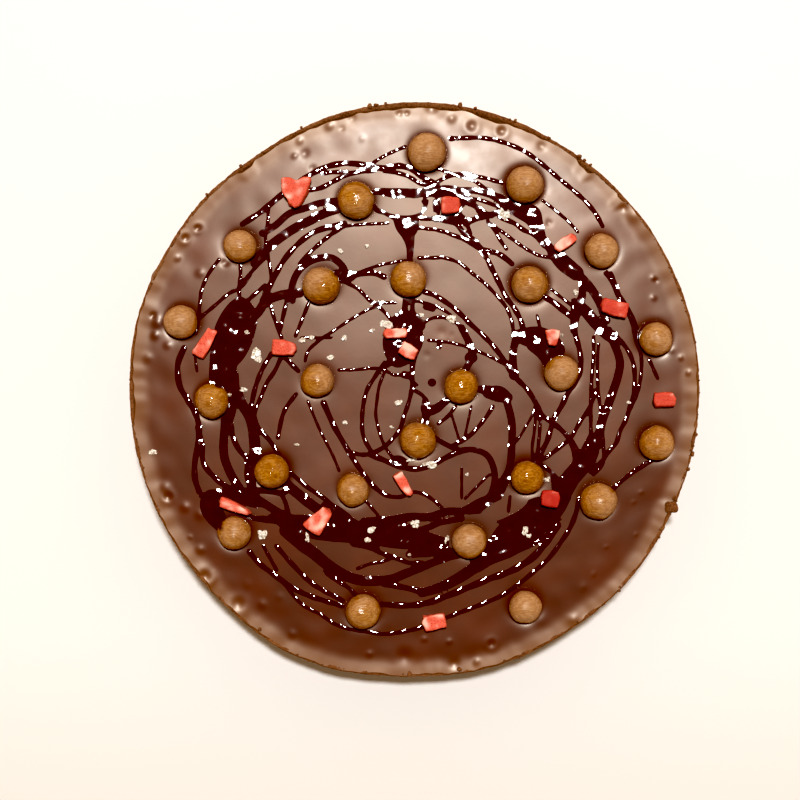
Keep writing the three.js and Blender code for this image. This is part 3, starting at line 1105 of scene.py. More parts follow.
THREADS = tuple(Thread(*row) for row in (
    # the top right
    (1.3, (15, 101, 29, 101, 42, 97, 58, 85, 73, 70.5, 76, 65)),
    (0.8, (51, 76.5, 58, 71, 62, 67.5, 66, 63)),
    (0.9, (30, 67, 36, 63, 40, 60, 45, 56.6, 50, 54, 56, 53)),
    (1, (29.5, 67.6, 32.4, 64, 34, 61, 37.4, 56)),
    (1.4, (34.3, 69.2, 40, 67, 44, 64.2, 48.6, 62, 52, 58)),
    (1.1, (21, 77, 27, 76, 33, 73.8, 36.6, 72)),
    # down the right side
    (1, (79, 47, 81, 42, 83, 36, 87, 28, 89, 20, 91, 14, 91, 6, 89.6, -1, 86.5, -8)),
    (1.3, (80, 23, 82, 20.7, 85.7, 16, 88, 10.4, 88.5, 4, 88, -2.2, 86.5, -7, 85, -11.8, 82.6, -16.5, 81,
     -21.3, 77.8, -25, 75.5, -28.4, 71, -33)),
    (0.9, (74, 19, 73.5, 12, 73.7, 2.5, 74, -2.3, 74.7, -7, 75.5, -17, 76, -23.6, 75.5, -30, 72, -34)),
    (1, (72, 22, 72, 13.6, 71.5, 8, 71, 0, 70.9, -7.8, 70.9, -15.7, 71, -19, 68.5, -25)),
    (1.2, (73, 0, 70, -7.8, 66.7, -12.6, 62.4, -19.6, 57.6, -23.6, 53.3, -26.8, 49, -29)),
    (1.6, (64, 36, 64, 28, 64.4, 24, 66.7, 13.6, 66.7, 8, 65.2, 4, 62, -0.7, 58.8, -7, 56.4, -11, 55, -15,
     53.3, -20.5, 51, -25, 48.5, -30)),
    (1.2, (62.4, -19.7, 64.4, -27.6, 64, -31.5, 58, -36.3)),
    (1.2, (49.3, -29.2, 53.3, -31.6, 55.7, -34, 58, -36.3)),
    (0.6, (48.5, -6.2, 47.3, -10.2, 44.6, -15, 42.2, -19, 39.8, -22)),
    (0.8, (49, -8, 48.5, -13.4, 48.1, -17.3, 47.3, -23.6, 47.7, -29)),
    (0.9, (50.6, -9, 50.4, -15.7, 49.8, -22, 48.8, -29)),
    (1, (94, 13, 98, 4)),
    (1, (96, -28, 86, -34.5, 79, -40)),
    (0.8, (93, -29, 86, -34, 80, -40)),
    (0.8, (54.6, 40.8, 58.7, 37.4, 64.2, 33.2)),
    (2, (52, 37.6, 56.7, 34.6, 60, 32, 64, 29)),
    (0.8, (49.1, 30.5, 50.5, 25)),
    (1.7, (76.6, 47.6, 79.3, 44.2, 82, 38, 85.5, 32.6, 88.2, 27, 90, 22)),
    # the middle right
    (1.5, (2, 40, 8, 38, 13, 35, 18, 31, 22, 27, 30, 19.5, 36, 12, 39, 7, 46, -0.7, 49.3, -6.2, 51.3,
     -10.2, 55, -12.7, 62.4, -19.7, 67, -27)),
    (1, (1, 53, 6, 53, 12, 53, 18, 51, 23, 47, 28, 43, 33, 38, 37, 33, 39, 28, 40, 22)),
    (1.6, (17, 67, 20, 63, 24, 60, 29, 53, 31, 49, 34, 43, 37, 37, 40, 33, 43, 27, 44, 23)),
    (0.9, (2, 65, 10, 64, 16, 62, 21, 60, 26, 57, 35, 54, 40, 50), 1.8),
    (0.8, (-1, 36, 4, 35, 10, 33, 15, 30)),
    (0.9, (2, 26, 8, 29, 12, 29, 15, 28, 19, 25)),
    (0.8, (5, 20, 14, 19, 22, 17, 29, 14, 37, 10)),
    (1, (0, 0, 4, -3, 5, -9)),
    (1, (9, -14, 13, -11, 17, -6)),
    (0.6, (15, -10, 18, -20)),
    (0.6, (23, -6, 20, -20)),
    (1.2, (32, -6, 28, -12, 20, -20, 16, -22)),
    (1.2, (30, 1, 25, 1)),
    (1.7, (-17.5, -26, -12.7, -28, -8, -30, -3.2, -31.4, 3.5, -31.4, 9.2, -29, 15, -26, 20.6, -24)),
    (0.8, (-20, -44, -17, -47.5, -13.5, -51.5)),
    (0.7, (19, -31, 19, -44)),
    (0.7, (30, -34, 20, -44)),
    # the top left
    (1.8, (-70, 66, -61, 72, -55, 77, -44, 85, -39, 88, -34, 90, -28, 91, -18, 90, -12, 89, -6, 90, 0, 88,
     4, 85, 8, 83)),
    (0.9, (-17, 91, -12, 94, -3, 98)),
    (1.4, (-46, 80, -38, 81, -32, 84, -27, 86.5, -20, 88)),
    (1.2, (-37, 87, -30, 87.5, -25, 87)),
    (1.2, (-12, 88, -6, 87, -1, 85, 2, 83, 8, 83, 12, 85, 16, 86.5, 26, 85.5, 36, 83)),
    (1, (9, 89, 16, 86.5, 22, 85, 27, 82, 36, 76)),
    (1.7, (-61, 36, -58, 42, -51, 54, -41, 63, -28, 67)),
    (1.2, (-46, 51, -40, 57, -34, 62, -28, 66)),
    (0.8, (-39, 64, -26, 66, -10, 67)),
    (0.8, (-26, 45.5, -16, 49.5, -4, 52)),
    (1.8, (-28, 45, -23, 46.5, -17, 47, -11, 45)),
    (1, (-29, 44, -22, 40, -18, 36, -15, 34, -9, 28)),
    (0.8, (-16, 35, -7, 35)),
    (0.9, (-44, 11, -43, 15, -38, 20, -32, 24, -26, 28, -19, 32, -14, 34), 0.7),
    (0.7, (-46, 21, -40, 21, -33, 21)),
    (0.8, (-31, 8, -26, 8, -12, 8, -8, 6, -4, 6, 1, 2)),
    # the middle left
    (1, (-78, 53, -83, 46, -85.5, 40, -86.3, 33, -87, 27, -88, 22)),
    (0.7, (-88, 14, -87.8, 11, -87.2, 7)),
    (0.9, (-53.7, 78, -58.2, 74, -58.8, 68, -59.8, 61, -58.8, 54, -57.6, 44, -58.8, 38)),
    (1, (-68, 56, -69.8, 52, -69.8, 47, -70.4, 40, -69.8, 34)),
    (1, (-69, 43, -64, 49, -60, 53)),
    (1.8, (-92, 18, -95, 10, -95, 6, -94, 1, -91, -4, -87, -12, -87, -23, -88, -28, -88, -36, -86, -42)),
    (1, (-86, 29, -80, 34, -74, 39, -70, 41, -66, 46)),
    (1.2, (-68, 35, -60, 42)),
    (1, (-58, 34, -56, 28, -53, 20)),
    (1.2, (-51, 37, -54, 24)),
    (1, (-42, 36, -46, 26, -48, 21)),
    (1.4, (-56.7, 15.5, -60, 10.4, -62.7, 4.5, -64.3, -0.6, -65.6, -7.4, -66.4, -12)),
    (1.2, (-53.3, 13.7, -56, 7.8, -59.3, 2.8, -61.8, -3.2, -63.9, -8.2, -64.3, -14)),
    (1.6, (-73.6, -14, -72.8, -19, -70.2, -24.3, -67.3, -27.7, -67.3, -33.6, -66, -39.5)),
    (1.3, (-64.3, -10.8, -62.7, -15, -58.4, -20, -55, -25, -50.8, -32, -47.4, -35.3, -42.3, -39.5, -35.6,
     -44, -31, -48)),
    (1.4, (-52, 13, -46, 7)),
    (1.2, (-47, -1, -52, -8, -55, -20)),
    (0.7, (-43, -4, -38, -16, -32, -28, -30, -33)),
    (1.8, (-37, -4, -32, -15, -28, -22, -25, -27, -21, -33, -16, -39, -12, -42, -6, -43, 0, -41, 4, -42,
     11, -47), 0.9),
    (1.6, (-87, -15, -85.5, -21, -84.4, -30, -81, -34.4, -77, -37.8, -72.8, -40, -66, -43)),
    (1.2, (-12, 11, -16, 5, -19, 0, -20.5, -6, -21, -12, -20.6, -18, -17, -25, -15.5, -27)),
    (0.8, (-12, 7, -14, 2, -15, -4, -15.5, -10, -14.6, -15, -13.2, -19.5, -10.8, -24.3, -8, -28)),
    (1.2, (-1, 11, -1, 1, -2, -4, -4, -10, -6, -16, -9, -20, -14, -24, -20, -26, -26, -25)),
    # the bottom
    (1.2, (-36, -73, -31.3, -76.5, -26.3, -79.6, -23, -83)),
    (1.4, (-56, -62, -49, -70, -42, -77, -28, -85)),
    (1.6, (-67, -64, -63, -69, -58, -73, -46, -81, -28, -87)),
    (1, (-61, -62, -55, -73)),
    (0.9, (-53, -77, -44, -87, -38, -90, -32, -94, -26, -96, -20, -97, -12, -98, -4, -97, 4, -95, 14, -91,
     22, -88, 36, -82, 48, -73, 54, -67.6, 58.3, -61.9, 62.8, -54.8, 64.6, -50.3, 66.4, -43), 1.5),
    (1.8, (-14, -86, -6, -86.5, 0, -86.4, 6, -85.3, 13.4, -82.6, 22.4, -79, 31.3, -75.4, 36.7, -73.6, 42,
     -71, 47.5, -67.3, 53, -61, 58.3, -53), 2.3),
    (1.8, (-12, -78, -9.4, -78.3, -3.8, -79.4, 3, -81)),
    (1.4, (26, -72, 30.5, -69.4, 38.5, -65.8, 49.3, -61, 56.5, -56.6)),
    (0.9, (-23.5, -72, -17.9, -69.9, -12.2, -68.8, -8.3, -67)),
    (1.3, (-15.6, -64.3, -12.2, -66, -8.9, -67, -5.5, -68.2, -2.7, -69.3, 2.9, -69.3)),
    (0.9, (38.5, -42.2, 37.7, -49.4)),
))

RUNS = tuple(Thread(*row) for row in (
    (2.8, (52, 60, 57, 54, 64, 48, 70, 42, 74, 36, 77, 28)),
    (2.4, (78, 24, 80, 19, 82, 14, 82.6, 11, 81.8, 5.7, 80, 0, 77.8, -6, 75.5, -12, 74.3, -17, 73, -22,
     71.5, -27, 68.3, -31.6, 64.4, -36, 58, -43), 3.4),
    (2.2, (-61, 63, -56, 66, -50, 71, -44, 73, -38, 75, -31, 76)),
    (3, (-64, 51, -60, 56, -54, 61, -48, 65, -42, 68, -36, 71, -30, 73)),
    (2.2, (-49, 36, -49, 42, -47, 47, -43, 51, -38, 53, -33, 53, -30, 51, -28, 48, -28, 45)),
    (3, (-68, 28, -64, 30, -59, 36, -54, 38, -46, 39)),
    (2.2, (19, 25, 21, 21, 22.5, 18, 23, 13, 21, 9)),
    (2.8, (-76, -12, -76, -28, -73, -35, -69, -41)),
    (3.2, (-71, -1, -69, -6, -66, -11, -64.3, -19, -64, -25, -64.4, -29), 4),
    (2, (-64.4, -28, -65, -34, -64.6, -40)),
    (3.4, (-53, -35.5, -50.5, -38.4, -46, -42.3, -40.3, -46.8, -34.7, -50.8)),
    (2.4, (37, -4, 39, -12, 39, -26)),
    (1.4, (8, -19, 13, -22, 18, -24, 24, -24, 29, -26, 32, -32, 32, -38, 30, -43, 26, -45, 19.7, -48.5,
     13.4, -48.8, 6, -51, -1, -51, -10.6, -52.5, -20, -53), 3),
    (4.4, (-51.6, -56.4, -46, -61.4, -40.3, -65.6, -34.7, -70.2, -29, -73.8, -23.5, -76, -15, -76.6, -9.4,
     -76, -3.8, -73.8, 1.8, -71.6, 7.4, -69.3, 13, -67.4, 20, -66, 28, -66.4), 1.9),
))

POOLS = tuple(Pool(row) for row in (
    # round the second piece of fruit, at the top
    (-17.5, 79.3, 1.6, -13.8, 79.7, 2.8, -9.8, 79.3, 3.6, -5.8, 78.9, 4.4, -1, 78.9, 4, 3.8, 79.3, 3.6,
     8.6, 79.7, 4.4, 13.4, 79.7, 5.2, 18.3, 78.9, 5.2, 22.3, 80.1, 2.8, 26.3, 79.5, 2.4, 30.3, 78.5, 2.8,
     34.3, 76.9, 3.6, 37.5, 75.3, 3.2),
    (5, 77.3, 2, 3.8, 74.5, 3.2, 1.8, 71.6, 3.2, -0.2, 69.2, 3.2),
    (8.6, 77.3, 2.4, 9, 73.7, 3.2, 9, 70.4, 2.4, 8.6, 68.4, 2),
    (-1, 69.2, 2, 3.8, 68.8, 1.8, 8.6, 68.8, 2, 13, 68.4, 3.2, 17.5, 68, 4.8, 19.9, 65.6, 4.4, 21.5, 62.8,
     3.6),
    (19.1, 77.7, 3.6, 19.1, 73.7, 2.8, 18.7, 69.6, 3.6),
    (19.9, 76.9, 2.4, 23.1, 74.5, 2.8, 26.3, 72.1, 2.8, 29.5, 70.4, 2.4, 33.5, 71.2, 2.4),
    (20.7, 67.2, 2.8, 24.7, 68.8, 2.4, 27.9, 69.6, 2.4, 31.1, 70, 2),
    (-4.6, 69.2, 8, -3, 66.8, 9.6, -2.6, 63.2, 6, -1.8, 58.8, 3.6, -1.8, 52, 2.4),
    (-16.3, 74.9, 1.2, -15.5, 72.9, 2, -11.4, 70.8, 1.6, -7, 68.8, 2.4),
    # the right shoulder
    (34.3, 76.9, 3.6, 37.5, 74.5, 3.2, 40.7, 73.3, 3.6, 44.8, 72.9, 4.4, 48, 71.2, 5.2, 49.2, 67.6, 4.8,
     50.4, 63.6, 4, 52, 60, 2.8, 55.2, 56, 2.4, 58.4, 51.2, 2.4, 63.2, 48.8, 2.8),
    (39.1, 71.6, 2, 42.3, 70.4, 3.2, 45.6, 68.4, 3.2, 48, 65.6, 2.8),
    (56, 55, 5, 60, 51, 6.5, 65, 47, 6),
    (65.5, 35, 3, 68.5, 32, 4.4, 73.6, 26, 4.6, 78, 22, 4.6, 81.5, 19, 3),
    (67.6, 43, 3, 67.4, 38, 3.2, 66.2, 34, 4, 64.6, 29, 3.6, 64, 24, 2.8),
    # the left
    (-70, 34.5, 6, -70, 30, 13, -72, 24, 16, -74, 18, 15, -76.4, 12, 11.5, -77, 5, 11),
    (-72.5, 6, 4, -72, -1, 3.6, -73.5, -8, 4, -75, -13, 4),
    # the middle
    (-3.4, 37, 2.4, -4, 31, 3.4, -5, 26, 10, -4.4, 21.5, 16, -5.4, 17, 14, -6.4, 13, 8),
    (-0.6, 37, 1.6, -0.6, 31, 2.4, 2, 26, 5),
    (-7, 14, 4, -11, 10, 2.4),
    (-1, 16, 6, -0.4, 11, 2, -1, 6, 2),
    # the middle right
    (40.5, 22.5, 3, 44, 21.5, 6.5, 49, 21, 9, 54, 19, 9, 57, 16, 7),
    (41, 21, 3.4, 39.8, 16, 3, 39.6, 10, 3.4, 40, 6, 4),
    (47, 17.5, 3.4, 51, 14.5, 4, 54, 10.5, 4),
    (30, -1, 5, 34, -1.6, 6.4, 37.5, -3, 4),
    (20, 1, 2, 26, 0, 2, 31, -1, 4),
    (4.4, -4, 2.4, 5, -8, 4.4, 8.4, -7.6, 3.8, 12, -5, 3, 15.5, -2.6, 2),
    (4.6, -7, 3.4, 4.6, -11, 3, 4.2, -14, 2),
    (-8.6, -27.4, 2, -6, -27.8, 3, -3.4, -28.8, 2.4),
    # the bottom left
    (-84, -42.5, 3, -82, -47, 8, -79, -52, 7, -76, -57, 3),
    (-82, -42, 4, -74, -42, 5, -68.4, -42.8, 6.5, -64, -44.5, 5.6, -59, -46.4, 3.4, -55, -49, 3.4, -51,
     -52, 5),
    (-67, -41, 3, -61, -40.3, 2.6, -57, -40.8, 2.4, -53, -41.3, 2.4, -50, -39, 3),
    (-53.3, -41.8, 1.8, -51.8, -45, 1.8, -50.6, -50.5, 2.4),
    (-70, -47, 3, -65.6, -51, 2, -60, -51.8, 3, -54.4, -51.6, 5, -48.8, -54, 8, -43, -54.5, 9),
    (-44, -55, 8, -36, -55.5, 10, -29, -55.6, 11, -23, -57, 9, -18, -57.5, 9, -8, -58, 11, -2, -59, 10, 4,
     -60.6, 8, 11, -62, 6),
    (-4, -57, 3, 1, -56.8, 3, 6, -55, 2.6, 10, -53.4, 2.4, 14, -52.5, 2.4, 19, -51.5, 2.6),
    (-36, -46, 2.6, -32, -48, 4, -28, -52, 6),
    (-24, -61, 4, -19, -62.5, 3, -15, -64, 2.4),
    (-2, -66, 3, 6, -65, 4, 12, -64.5, 4, 17, -66, 3),
    # the bottom right
    (24, -68, 4, 32, -63, 7, 38, -58, 11, 44, -54, 14, 50, -50, 14, 56, -47, 9, 61, -43, 4),
    (30, -48, 5, 36, -50, 8, 42, -50, 8),
    (39, -26, 3, 38, -32, 3, 34, -40, 5, 30, -46, 5, 22, -48, 4),
    (56, -34.5, 2.4, 57, -38, 4, 58, -43, 5),
    (71, -18, 2, 69.5, -23, 4, 66.5, -29, 5, 62, -34, 4.5, 58, -39, 4),
    (66, -34, 3, 61, -42, 4, 54, -52, 4, 46, -60, 4, 38.5, -65, 4, 30, -68, 4.6, 24, -71.5, 4.6, 17, -76,
     4.4, 10, -79.4, 4, 3, -81.5, 3.4),
    # drops
    (7, 3, 3.2, 7.2, 3, 3.2),
    (-4, 6.2, 3, -3, 6, 3),
    (4.6, 33.4, 2.4, 7.4, 32.6, 2.4),
    (14.6, 101, 2.2, 15, 101, 2.2),
    (10, 18.6, 1.8, 10, 17.4, 2.2),
    (-18.6, 89, 4, -16.6, 89, 3.6),
    (-31, 46, 5, -27, 45.4, 5, -24, 46.4, 3),
    (22.4, 13, 4.4, 23.4, 13, 4),
))


@dataclass(frozen=True)
class Island:
    """A gap that a pool leaves open: its middle, its length, its width and how far it is turned."""

    x: float
    y: float
    length: float
    width: float
    turn: float = 0.0  # in degrees, from +X towards +Y

    SQUARENESS = 2.3  # 2 would make it an ellipse

    def outside(self, x: Array, y: Array) -> Array:
        """How far outside the gap each place is, in millimetres near its edge."""
        turn, power = math.radians(self.turn), self.SQUARENESS
        along = (x - self.x) * math.cos(turn) + (y - self.y) * math.sin(turn)
        across = (y - self.y) * math.cos(turn) - (x - self.x) * math.sin(turn)
        reach = (2 * np.abs(along) / self.length) ** power + (2 * np.abs(across) / self.width) ** power
        return (reach ** (1 / power) - 1) * min(self.length, self.width) / 2


ISLANDS = tuple(Island(*row) for row in (
    # round the second piece of fruit
    (-3.8, 73.7, 14.8, 7.2), (6.6, 76.9, 4, 1.1), (6.8, 70.6, 4.8, 1.9), (21.9, 71.6, 6, 4.2, -20),
    (19.8, 65, 3.2, 1.6, -40),
    # the middle right
    (44.8, 11.4, 6, 8.6, 10),
    # the bottom left
    (-60.8, -48.8, 5.4, 2.8, -25),
    # the bottom
    (36, -47.4, 21, 7.4, 25),
))


@dataclass
class CaramelField:
    """Where the caramel lies and how high it stands, on a fine square grid.

    Each run of caramel is a low dome along its own centre line. Where runs meet, they flow into one
    another, and a wide pool is flat.
    """

    reach: float = 112.0
    cell: float = 0.44
    flow: float = 0.16  # how far apart two edges still run together
    spacing: float = 0.5
    chunk: int = 12
    margin: float = 2.0  # how far beside a run its slopes are worked out
    dry: float = -9.0  # the edge wherever no caramel is near
    crown_slope: float = 0.03  # height of a dome over half its width
    full_width: float = 2.4  # width past which a dome gets lower again
    levelling: float = 1.3  # how much wider a run is when its dome is about a third as high
    seam: float = 2.0  # how far a crossing's sheet reaches
    skirt: float = 0.8  # how far the sheet reaches beside a wide run
    edge: Array = field(init=False)  # distance inside the edge of the caramel
    crown: Array = field(init=False)  # height of the domes
    sheeted: Array = field(init=False)  # where the caramel is modelled as a sheet

    def __post_init__(self) -> None:
        """Lays every run of caramel on the grid."""
        self.cells = round(2 * self.reach / self.cell)
        self.axis = np.linspace(-self.reach, self.reach, self.cells + 1)
        shape = (self.cells + 1, self.cells + 1)
        self.edge, wide = np.full(shape, self.dry), np.full(shape, self.dry)
        self.crown, crowd = np.zeros(shape), np.zeros(shape)
        for number, run in enumerate((*THREADS, *RUNS, *POOLS)):
            edge, crown = self.dome(run.rows())
            self.edge = self.merge(self.edge, edge)
            self.crown = np.maximum(self.crown, crown)
            if number < len(THREADS):
                crowd += edge > 0
            else:
                wide = np.maximum(wide, edge)
        x, y = np.meshgrid(self.axis, self.axis, indexing="ij")
        for island in ISLANDS:
            self.edge = np.minimum(self.edge, island.outside(x, y))
        self.sheeted = self.grow(crowd > 1, self.seam) | self.grow(wide > 0, self.skirt)

    def merge(self, first: Array, second: Array) -> Array:
        """Lets two runs flow into one another."""
        return self.flow * np.logaddexp(first / self.flow, second / self.flow)

    def grow(self, area: Array, distance: float) -> Array:
        """Spreads an area of the grid by a distance."""
        for _ in range(round(distance / self.cell)):
            wider = area.copy()
            wider[1:] |= area[:-1]
            wider[:-1] |= area[1:]
            wider[:, 1:] |= area[:, :-1]
            wider[:, :-1] |= area[:, 1:]
            area = wider
        return area

    def crown_height(self, width: float) -> float:
        """The height of the dome of a run of some width."""
        return self.crown_slope * min(width, self.full_width) / 2 * math.exp(
            -max(width - self.full_width, 0) / self.levelling
        )

    def dome(self, rows: Array) -> tuple[Array, Array]:
        """Lays one run on the grid.

        Args:
            rows: Points of the run, each with its width.

        Returns:
            The distance inside its edge, and the height of its dome.
        """
        edge = np.full((self.cells + 1, self.cells + 1), self.dry)
        crown = np.zeros_like(edge)
        path = smooth_path(rows, self.spacing)
        for start in range(0, len(path), self.chunk):
            part = path[start : start + self.chunk]
            margin = part[:, 2].max() / 2 + self.margin
            low = np.searchsorted(self.axis, part[:, :2].min(0) - margin)
            high = np.searchsorted(self.axis, part[:, :2].max(0) + margin)
            along, across = slice(low[0], high[0]), slice(low[1], high[1])
            x, y = np.meshgrid(self.axis[along], self.axis[across], indexing="ij")
            near_edge, near_crown = edge[along, across], crown[along, across]
            for px, py, width in part.tolist():
                half = width / 2
                inside = (half - ((x - px) ** 2 + (y - py) ** 2) / half) / 2
                np.maximum(near_edge, inside, out=near_edge)
                np.maximum(near_crown, self.crown_height(width) * inside * 2 / half, out=near_crown)
        return edge, crown

    def at(self, values: Array, x: Array, y: Array) -> Array:
        """Values on the grid at any place, blended between its corners."""
        u, v = (np.clip((along + self.reach) / self.cell, 0, self.cells - TINY) for along in (x, y))
        i, j = u.astype(int), v.astype(int)
        u, v = u - i, v - j
        near = values[i, j] * (1 - u) + values[i + 1, j] * u
        far = values[i, j + 1] * (1 - u) + values[i + 1, j + 1] * u
        return near * (1 - v) + far * v


@dataclass
class Caramel:
    """The caramel on the ganache: a sheet for the pools and the crossings, a strand for each thread."""

    grid: CaramelField
    surface: GanacheSurface
    ganache: Ganache
    film: float = 0.1  # thickness at the edge of a thread
    lip: float = 0.3  # thickness at the edge of a pool
    thinnest: float = 0.04  # thickness that a wave always leaves
    sunk: float = 0.3  # how deep its underside goes into the ganache
    body: float = 0.03  # how much thicker a wide pool is
    body_reach: float = 4.0  # how far inside its edge
    swell: float = 0.1  # height of the waves left across the pools
    swell_waves: Point = (5.0, 7.5)
    swell_stretch: float = 0.85  # their length across over that from front to back
    calm_back: float = 0.5  # how much lower they are at the back
    calm_from: Point = (0.0, 60.0)  # where they begin to be lower and are lowest
    unevenness: float = 0.45  # of the domes in the sheet
    uneven_waves: Point = (6.0, 9.0)
    uneven_range: Point = (0.2, 2.0)
    sheet_gap: float = 0.8  # where the sheet ends under a nut, in its radii
    strand_gap: float = 0.95
    pulls: int = 3  # how often a place outside is drawn to the edge
    pull: float = 0.5  # the most that it is drawn
    flattest: float = 0.3  # the least slope that it is drawn along
    weld: float = 0.05
    sliver: float = 0.02
    crease: float = 50.0  # in degrees
    thread_crown: float = 0.13  # how high a thread is, over half its width
    crown_limit: float = 1.3  # half the width past which it gets no higher
    beading: float = 0.12  # how much higher its beads are, likewise
    bulging: float = 0.1  # how much wider they are
    bead_length: float = 7.0  # from bead to bead, likewise
    bead_limits: Point = (0.7, 1.3)  # half widths past which the length stays the same
    bead_drift: float = 0.9
    drift_length: float = 6.0
    drift_shift: float = 3.7  # how far apart in the noise two threads are taken from
    tip: float = 0.04  # square of a strand's width at its very end, as a share
    strand_step: float = 0.5
    strand_sides: int = 10
    strand_least: int = 3  # a stretch of no more points is left out

    def build(self, finish: DarkCaramel) -> list[Object]:
        """Makes the pieces."""
        material = finish.material()
        return [self.pools(material), self.threads(material)]

    def pools(self, material: Material) -> Object:
        """Makes the sheet of the pools, the wide runs and the places where threads cross."""
        grid = self.grid
        mesh = bmesh.new()
        bmesh.ops.create_grid(mesh, x_segments=grid.cells, y_segments=grid.cells, size=grid.reach)
        x, y, _ = places_of(mesh).T
        i, j = (np.round((along + grid.reach) / grid.cell).astype(int) for along in (x, y))
        wet = (grid.edge > 0)[i, j] & grid.sheeted[i, j]
        for nut in self.surface.nuts:
            wet &= np.hypot(x - nut.x, y - nut.y) > self.sheet_gap * nut.radius
        flags = wet.tolist()
        mesh.verts.index_update()
        dry = [face for face in mesh.faces if not any(flags[vert.index] for vert in face.verts)]
        bmesh.ops.delete(mesh, geom=dry, context="FACES")

        x, y, z = places_of(mesh).T
        place(mesh, np.column_stack([*self.drawn_to_edge(x, y), z]))
        bmesh.ops.remove_doubles(mesh, verts=mesh.verts, dist=self.weld)
        bmesh.ops.dissolve_degenerate(mesh, dist=self.sliver, edges=mesh.edges)
        grown = bmesh.ops.extrude_face_region(mesh, geom=mesh.faces, use_keep_orig=True)["geom"]
        above = {item for item in grown if isinstance(item, BMVert)}
        x, y, _ = places_of(mesh).T
        ground = self.ganache.ground(x, y)
        top = self.bed(x, y, ground) + np.maximum(self.lip + self.relief(x, y), self.thinnest)
        on_top = np.array([vert in above for vert in mesh.verts])
        place(mesh, np.column_stack([x, y, np.where(on_top, top, ground - self.sunk)]))
        bmesh.ops.recalc_face_normals(mesh, faces=mesh.faces)
        self.sharpen(mesh)
        return make_piece("caramel_pools", mesh, material)

    def relief(self, x: Array, y: Array) -> Array:
        """How much thicker the sheet is than its lip: its uneven domes, its body and its waves."""
        crown = np.maximum(self.grid.at(self.grid.crown, x, y), 0)
        uneven = np.clip(1 + self.unevenness * waves(x, y, *self.uneven_waves, seed=11), *self.uneven_range)
        inside = self.grid.at(self.grid.edge, x, y)
        relief = crown * uneven + self.body * smoothstep(0, self.body_reach, inside)
        swell = self.swell * (1 - self.calm_back * smoothstep(*self.calm_from, y))
        return relief + swell * waves(x, self.swell_stretch * y, *self.swell_waves, seed=12)

    def bed(self, x: Array, y: Array, ground: Array) -> Array:
        """The height that the caramel levelled out on: it fills the dips round the nuts."""
        return np.maximum(ground, self.surface.poured(x, y))

    def drawn_to_edge(self, x: Array, y: Array) -> tuple[Array, Array]:
        """Draws places that lie just outside the caramel to its edge.

        Args:
            x: Where the places are.
            y: Where the places are.

        Returns:
            X and Y of the places once drawn in.
        """
        grid = self.grid
        slope_x, slope_y = np.gradient(grid.edge, grid.cell)
        for _ in range(self.pulls):
            outside = np.clip(grid.at(grid.edge, x, y), -self.pull, 0)
            gx, gy = grid.at(slope_x, x, y), grid.at(slope_y, x, y)
            steep = np.maximum(gx**2 + gy**2, self.flattest)
            x, y = x - outside * gx / steep, y - outside * gy / steep
        return x, y

    def sharpen(self, mesh: BMesh) -> None:
        """Keeps the caramel's edge crisp."""
        for edge in mesh.edges:
            if len(edge.link_faces) == 2 and edge.calc_face_angle(0) > math.radians(self.crease):
                edge.smooth = False

    def threads(self, material: Material) -> Object:
        """Makes the strands of the threads, cut where they run under a nut."""
        mesh = bmesh.new()
        for number, thread in enumerate(THREADS):
            path = smooth_path(thread.rows(), self.strand_step)
            dry = np.ones(len(path), bool)
            for nut in self.surface.nuts:
                dry &= np.hypot(path[:, 0] - nut.x, path[:, 1] - nut.y) > self.strand_gap * nut.radius
            for start, end in self.stretches(dry):
                self.add_strand(mesh, path[start:end], number)
        bmesh.ops.remove_doubles(mesh, verts=mesh.verts, dist=1e-5)
        bmesh.ops.holes_fill(mesh, edges=[edge for edge in mesh.edges if edge.is_boundary])
        bmesh.ops.recalc_face_normals(mesh, faces=mesh.faces)
        self.sharpen(mesh)
        return make_piece("caramel_threads", mesh, material)

    def stretches(self, kept: Array) -> list[tuple[int, int]]:
        """The stretches of a run that are kept, each as its first index and the one past its last."""
        edges = np.flatnonzero(np.diff(np.concatenate([[0], kept.astype(int), [0]])))
        ends = zip(edges[::2].tolist(), edges[1::2].tolist())
        return [(start, end) for start, end in ends if end - start > self.strand_least]

    def add_strand(self, mesh: BMesh, path: Array, number: int) -> None:
        """Adds one strand: a tube with a low beaded dome on top and its underside in the ganache.

        Args:
            mesh: The mesh that it joins.
            path: Its points, each with its width.
            number: Which thread it belongs to.
        """
        count, sides = len(path), self.strand_sides
        made = bmesh.ops.create_grid(mesh, x_segments=count - 1, y_segments=sides, size=1.0)["verts"]
        flat = np.array([vert.co for vert in made])
        i = np.round((flat[:, 0] + 1) / 2 * (count - 1)).astype(int)
        turn = (np.round((flat[:, 1] + 1) / 2 * sides) % sides) * FULL_TURN / sides

        along = np.arange(count) * self.strand_step
        shift = number * self.drift_shift
        drift = [noise.noise(Vector((s / self.drift_length, shift, 0))) for s in along.tolist()]
        pace = 1 + self.bead_drift * np.array(drift)
        pace = np.cumsum(pace / np.clip(path[:, 2] / 2, *self.bead_limits))
        bead = np.sin(FULL_TURN * pace * self.strand_step / self.bead_length + number)
        half = path[:, 2] / 2 * (1 + self.bulging * bead)
        to_end = np.minimum(along, along[::-1]) / half
        half = half * np.sqrt(np.clip(1 - (1 - np.minimum(to_end, 1)) ** 2, self.tip, 1))
        crown = (self.thread_crown + self.beading * bead) * np.minimum(half, self.crown_limit)
        crown *= np.minimum(to_end, 1)
        ahead = np.gradient(path[:, :2], axis=0)
        ahead /= np.hypot(ahead[:, 0], ahead[:, 1])[:, None]

